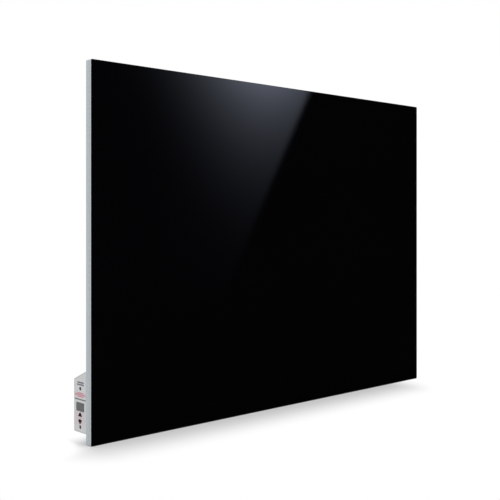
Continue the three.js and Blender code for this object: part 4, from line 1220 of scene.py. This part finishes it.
def build_window(sizes):
    outer = lambda inset: display_outline(sizes, inset=inset)
    lens = block(outer, "x", window_low.x, window_high.x, 0.25 * MM)
    return finished("display_lens_moulding", lens, "display_lens", "display_window")


def build_key(sizes, up):
    """A key cap with a rolled rim and a dished face, on its flange and stem."""
    way = "up" if up else "down"
    low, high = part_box(f"button_{way}")
    flange = plate_low.x + 2.1 * MM
    # Insets and depths from the middle of the dish to its rim, then round the rim to the flange
    arris = sizes.key_arris
    dish = [(arris + 1.15 * MM, 0.13), (arris + 0.85 * MM, 0.09), (arris + 0.55 * MM, 0.03)]
    steps = [(inset, low.x + sink * MM) for inset, sink in dish]
    steps += [(inset, low.x + depth) for inset, depth in rim_steps(arris, 5)]
    steps.append((0.0, flange + 0.5 * MM))
    bm = bmesh.new()
    rings = [ring(bm, key_outline(sizes, up, -inset), "x", level) for inset, level in steps]
    skin(bm, *rings)
    cap(bm, rings[0])
    cap(bm, rings[-1])
    outline = lambda inset: rectangle(low.yz, high.yz, 0.4 * MM, inset)
    plate(bm, outline, "x", flange, flange + MM, 0.1 * MM)
    base, upward = key_base(sizes, up)
    stem = circle(base + upward * sizes.key_height / 3, 1.7 * MM, 24)
    plate(bm, stem, "x", flange + 0.8 * MM, high.x)
    return finished(f"key_{way}", bm, "key_plastic", f"button_{way}", f"{way}_button")


def build_gland(sizes):
    """A cord gland: hexagon on the box, fluted dome nut, and its open bore."""
    low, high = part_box("supply_gland")
    middle = middle_of("supply_gland").yz
    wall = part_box("gland_nut")[1].x + sizes.wall
    bore, hexagon_reach, hexagon_depth = 4.2 * MM, 9.2 * MM, 4 * MM
    nut_radius, dome_depth, mouth_wall, edge = 8 * MM, 3.2 * MM, 1.4 * MM, 0.3 * MM
    flutes, flute_depth = 18, 0.35 * MM
    thread_radius, thread_depth, turns = 6.3 * MM, 0.35 * MM, 20
    count = flutes * 6
    bm = bmesh.new()
    hexagon = lambda inset: rounded(
        circle(middle, hexagon_reach - inset, 6, QUARTER), 0.6 * MM, 4
    )
    hole = lambda grow: circle(middle, bore + grow, 30)
    start, end = wall + hexagon_depth, high.x
    plate(bm, hexagon, "x", wall, start, 0.5 * MM, [hole])

    def fluted(radius):
        """A circle with grooves for grip, which grow shallow towards the bore."""
        points = []
        for i in range(count):
            angle = 4 * QUARTER * i / count
            groove = max(0.0, math.cos(angle * flutes)) ** 2 * flute_depth
            reach = radius - groove * min(1.0, radius / nut_radius)
            points.append(Vector((math.cos(angle), math.sin(angle))) * reach + middle)
        return points

    mouth = bore + mouth_wall
    profile = [(nut_radius - edge, start), (nut_radius, start + edge)]
    profile += arc((mouth, end - dome_depth), (nut_radius - mouth, dome_depth), 0, QUARTER, 8)
    rings = [ring(bm, fluted(radius), "x", level) for radius, level in profile]
    rings += [ring(bm, circle(middle, bore, count), "x", level) for level in (end, start)]
    skin(bm, *rings, rings[0])

    pitch = (wall - low.x) / turns
    thread = [(thread_radius - k % 2 * thread_depth, low.x + k * pitch) for k in range(turns + 1)]
    thread += [(bore, wall), (bore, low.x)]
    tube = [ring(bm, circle(middle, radius, 40), "x", level) for radius, level in thread]
    skin(bm, *tube, tube[0])
    return finished("gland_moulding", bm, "black_plastic", "supply_gland")


# ---- Carried-over nodes --------------------------------------------------------------------


FACET_ANGLE = 38
NODE_EDGE = 0.12 * MM


def round_shading():
    """A modifier's node group that shades facets smooth and keeps sharp edges sharp."""
    group = bpy.data.node_groups.new("round_shading", "GeometryNodeTree")
    for way in ("INPUT", "OUTPUT"):
        group.interface.new_socket("Geometry", in_out=way, socket_type="NodeSocketGeometry")
    nodes, links = group.nodes, group.links
    start, end = nodes.new("NodeGroupInput"), nodes.new("NodeGroupOutput")
    faces, edges = (nodes.new("GeometryNodeSetShadeSmooth") for _ in range(2))
    edges.domain = "EDGE"
    angle = nodes.new("GeometryNodeInputMeshEdgeAngle")
    gentle = nodes.new("FunctionNodeCompare")
    gentle.operation = "LESS_THAN"
    gentle.inputs["B"].default_value = math.radians(FACET_ANGLE)
    links.new(start.outputs[0], faces.inputs["Geometry"])
    links.new(faces.outputs[0], edges.inputs["Geometry"])
    links.new(angle.outputs["Unsigned Angle"], gentle.inputs["A"])
    links.new(gentle.outputs[0], edges.inputs["Shade Smooth"])
    links.new(edges.outputs[0], end.inputs[0])
    return group


def soften(node, width, shading):
    """Welds and rounds a node's edges with modifiers, so that light catches them."""
    weld = node.modifiers.new("weld", "WELD")
    weld.merge_threshold = 1e-6
    bevel = node.modifiers.new("edges", "BEVEL")
    bevel.width = width
    bevel.segments = 2
    bevel.limit_method = "ANGLE"
    bevel.angle_limit = math.radians(40)
    bevel.use_clamp_overlap = True
    node.modifiers.new("shading", "NODES").node_group = shading


def dress_nodes():
    """Gives each node that still shows the finish of its slot and softer edges."""
    slots = {part["node"]: part["material_slot"] for part in frame["record"]["subparts"]}
    shading = round_shading()
    for name, node in NODES.items():
        if node.hide_render:
            continue
        for material_slot in node.material_slots:
            material_slot.material = finish_of(slots[name])
        soften(node, NODE_EDGE, shading)


# ---- Studio --------------------------------------------------------------------------------


def add_camera(studio):
    data = bpy.data.cameras.new("camera")
    data.lens = studio.camera_lens
    data.sensor_width = 36
    data.shift_y = studio.camera_shift
    data.clip_start = 0.01
    camera = new_object("camera", data)
    camera.location = studio.camera_place
    camera.rotation_euler = (QUARTER, 0, -studio.camera_yaw)
    bpy.context.scene.camera = camera


def add_lamp(name, place, size, power):
    """A soft lamp that is aimed at the heater and isn't mirrored in it."""
    data = bpy.data.lights.new(name, "AREA")
    data.shape = "RECTANGLE"
    data.size, data.size_y = size
    data.energy = power
    lamp = new_object(name, data)
    lamp.location = place
    away = Vector(place) - Vector((0.0, 0.0, 0.2))
    lamp.rotation_euler = away.to_track_quat("Z", "Y").to_euler()
    lamp.visible_glossy = False


def mirror_rays(f):
    """1 for rays that see the surroundings: from the camera, off gloss or through glass."""
    path = f.add("ShaderNodeLightPath").outputs
    kinds = ("Is Camera Ray", "Is Glossy Ray", "Is Transmission Ray")
    seen = [Value(f, path[kind]) for kind in kinds]
    return seen[0].at_least(seen[1]).at_least(seen[2])


def add_world(studio):
    world = bpy.data.worlds.new("studio")
    f = Finish(world, "ShaderNodeOutputWorld")
    ambient = f.add("ShaderNodeBackground", None, {"Color": WHITE, "Strength": studio.ambient})
    shown = f.add("ShaderNodeBackground", None, {"Color": WHITE, "Strength": 1.0})
    inputs = {0: mirror_rays(f), 1: ambient.outputs[0], 2: shown.outputs[0]}
    bpy.context.scene.world = f.end(f.add("ShaderNodeMixShader", None, inputs))


def stage_card(name, corners, material):
    mesh = bpy.data.meshes.new(name)
    mesh.from_pydata(corners, [], [tuple(range(len(corners)))])
    mesh.materials.append(material)
    card = new_object(name, mesh)
    return card


def mirror_only(card):
    """The card shows in gloss alone, and neither lights the heater nor shades it."""
    for kind in ("camera", "diffuse", "transmission", "shadow", "volume_scatter"):
        setattr(card, "visible_" + kind, False)


def floor_finish():
    """White floor that keeps a soft shadow near the heater and is plain white further off."""
    f = new_finish("studio_floor")
    x, y, _ = f.axes(f.millimetres())
    half_width = glass_high.x / MM
    # Past the left end the shadow fades, and faster the further back a place lies
    narrowing_start, left_fade, narrowing = -60, 1.3, 0.0014
    # It fades from a little inside the right end, and behind the tray twice as fast as in front
    right_margin, right_fade, rear_fade = 100, 1.2, 2
    shadow_reach, floor_grey, lift_strength = 100, (0.57, 0.57, 0.57), 0.2
    behind = (y - narrowing_start).at_least(0)
    left = (0 - x - half_width).at_least(0) * (left_fade + behind * behind * narrowing)
    beside = left + (x - half_width + right_margin).at_least(0) * right_fade
    in_front = (glass_low.y / MM - y).at_least(0)
    outside = in_front.at_least((y - tray_high.y / MM) * rear_fade)
    away = f.maths("SQRT", beside * beside + outside * outside)
    near = 1 - away.rise(0, shadow_reach)
    lit = f.add("ShaderNodeBsdfDiffuse", None, {"Color": floor_grey})
    strength = mirror_rays(f) * lift_strength
    lift = f.add("ShaderNodeEmission", None, {"Color": WHITE, "Strength": strength})
    both = f.add("ShaderNodeAddShader", None, {0: lit.outputs[0], 1: lift.outputs[0]})
    plain = f.add("ShaderNodeEmission", None, {"Color": WHITE, "Strength": 1.0})
    inputs = {0: mirror_rays(f) * (1 - near), 1: both.outputs[0], 2: plain.outputs[0]}
    return f.end(f.add("ShaderNodeMixShader", None, inputs))


def glow(f, tint, strength):
    """Ends the finish of a card that gives off light and reflects none."""
    return f.end(f.add("ShaderNodeEmission", None, {"Color": tint, "Strength": strength}))


def sheen_finish(studio):
    """A softbox seen in the glass: bright at its upper right, fading left and down."""
    f = new_finish("studio_sheen")
    x, _, z = f.axes(f.millimetres())
    middle, spread, full_height, fall, limit = 1377, 211, 820, 152, 1.25
    across = (x - middle) / spread
    peak = f.maths("EXPONENT", 0 - across * across / 2)
    height = f.maths("EXPONENT", (z - full_height) / fall)
    return glow(f, (0.72, 0.79, 1.0), peak * height.at_most(limit) * studio.sheen_strength)


def build_stage(studio):
    add_camera(studio)
    add_world(studio)
    reach = 6.0
    floor = [(-reach, -reach, 0), (reach, -reach, 0), (reach, reach, 0), (-reach, reach, 0)]
    stage_card("studio_floor", floor, floor_finish())

    # Black cards that the glass mirrors, and before them the card of its highlight
    flag = glow(new_finish("studio_flag"), (0, 0, 0), 0.0)
    left, right, far, top = -3.2, 3.6, -1.62, 2.4
    near, depth = glass_high.y, far + 0.12
    wall = [(left, far, 0), (right, far, 0), (right, far, top), (left, far, top)]
    ground = [(left, far, MM), (right, far, MM), (right, near, MM), (left, near, MM)]
    sheen = [(0.2, depth, 0.0), (1.17, depth, 0.0), (1.742, depth, 1.0), (0.2, depth, 1.0)]
    mirror_only(stage_card("flag_wall", wall, flag))
    mirror_only(stage_card("flag_ground", ground, flag))
    mirror_only(stage_card("sheen_card", sheen, sheen_finish(studio)))

    add_lamp("lamp_key", (-1.9, -1.5, 1.3), (1.4, 1.4), studio.key_power)
    add_lamp("lamp_top", (0.2, -0.9, 2.2), (2.0, 1.6), studio.fill_power)
    add_lamp("lamp_rear", (0.6, 2.0, 1.5), (1.6, 1.2), studio.rear_power)
    bpy.context.scene.view_settings.view_transform = "Standard"


# ---- Operators -----------------------------------------------------------------------------


class HEATER_OT_stage(bpy.types.Operator):
    """Make the camera, the lamps, the floor and the cards that the glass mirrors"""

    bl_idname = "heater.stage"
    bl_label = "Stage"

    def execute(self, context):
        build_stage(context.scene.heater_studio)
        return {"FINISHED"}


class HEATER_OT_finishes(bpy.types.Operator):
    """Make every finish that the pieces take"""

    bl_idname = "heater.finishes"
    bl_label = "Finishes"

    def execute(self, context):
        make_finishes(context.scene.heater_colours)
        return {"FINISHED"}


class HEATER_OT_glass(bpy.types.Operator):
    """Make the glass front with its ground edge, and the bead that bonds it to the casing"""

    bl_idname = "heater.glass"
    bl_label = "Glass front"

    def execute(self, context):
        build_glass(context.scene.heater_panel)
        build_seal(context.scene.heater_panel)
        return {"FINISHED"}


class HEATER_OT_casing(bpy.types.Operator):
    """Make the steel tray with its pressed beads"""

    bl_idname = "heater.casing"
    bl_label = "Casing"

    def execute(self, context):
        build_casing(context.scene.heater_panel)
        return {"FINISHED"}


class HEATER_OT_brackets(bpy.types.Operator):
    """Make the hanger and spacer brackets and the wall bumpers"""

    bl_idname = "heater.brackets"
    bl_label = "Brackets and bumpers"

    def execute(self, context):
        sizes = context.scene.heater_panel
        for side in ("left", "right"):
            build_bracket(f"hanger_bracket_{side}", sizes, True)
            build_bracket(f"spacer_bracket_{side}", sizes, False)
            build_bumper(f"wall_bumper_{side}", sizes)
        return {"FINISHED"}


class HEATER_OT_screws(bpy.types.Operator):
    """Make the screws with their cross recesses"""

    bl_idname = "heater.screws"
    bl_label = "Screws"

    def execute(self, context):
        build_screws(context.scene.heater_box)
        return {"FINISHED"}


class HEATER_OT_housing(bpy.types.Operator):
    """Make the thermostat box's moulded shell and its cord gland"""

    bl_idname = "heater.housing"
    bl_label = "Thermostat housing"

    def execute(self, context):
        build_housing(context.scene.heater_box, context.scene.heater_panel)
        build_gland(context.scene.heater_box)
        return {"FINISHED"}


class HEATER_OT_fascia(bpy.types.Operator):
    """Make the fascia, its label and the display window"""

    bl_idname = "heater.fascia"
    bl_label = "Fascia"

    def execute(self, context):
        sizes = context.scene.heater_box
        build_fascia(sizes)
        build_label(sizes)
        build_window(sizes)
        return {"FINISHED"}


class HEATER_OT_keys(bpy.types.Operator):
    """Make the two push buttons"""

    bl_idname = "heater.keys"
    bl_label = "Push buttons"

    def execute(self, context):
        for up in (True, False):
            build_key(context.scene.heater_box, up)
        return {"FINISHED"}


class HEATER_OT_inside(bpy.types.Operator):
    """Give the inner pieces their finishes and softer edges"""

    bl_idname = "heater.inside"
    bl_label = "Inner pieces"

    def execute(self, context):
        dress_nodes()
        return {"FINISHED"}


OPERATORS = (
    HEATER_OT_stage,
    HEATER_OT_finishes,
    HEATER_OT_glass,
    HEATER_OT_casing,
    HEATER_OT_brackets,
    HEATER_OT_screws,
    HEATER_OT_housing,
    HEATER_OT_fascia,
    HEATER_OT_keys,
    HEATER_OT_inside,
)


class HEATER_PT_build(bpy.types.Panel):
    """Lists the heater's steps in the 3D view's sidebar"""

    bl_idname = "HEATER_PT_build"
    bl_label = "Panel heater"
    bl_space_type = "VIEW_3D"
    bl_region_type = "UI"
    bl_category = "Heater"

    def draw(self, context):
        for operator in OPERATORS:
            self.layout.operator(operator.bl_idname)


GROUPS = {
    "heater_panel": HeaterPanelSizes,
    "heater_box": HeaterBoxSizes,
    "heater_colours": HeaterColours,
    "heater_studio": HeaterStudio,
}


def register():
    for group in (*GROUPS.values(), *OPERATORS, HEATER_PT_build):
        bpy.utils.register_class(group)
    for name, group in GROUPS.items():
        setattr(bpy.types.Scene, name, PointerProperty(type=group))


def unregister():
    for name in GROUPS:
        delattr(bpy.types.Scene, name)
    for group in reversed((*GROUPS.values(), *OPERATORS, HEATER_PT_build)):
        bpy.utils.unregister_class(group)


def main():
    register()
    for operator in OPERATORS:
        group, name = operator.bl_idname.split(".")
        getattr(getattr(bpy.ops, group), name)()


if __name__ == "__main__":
    main()
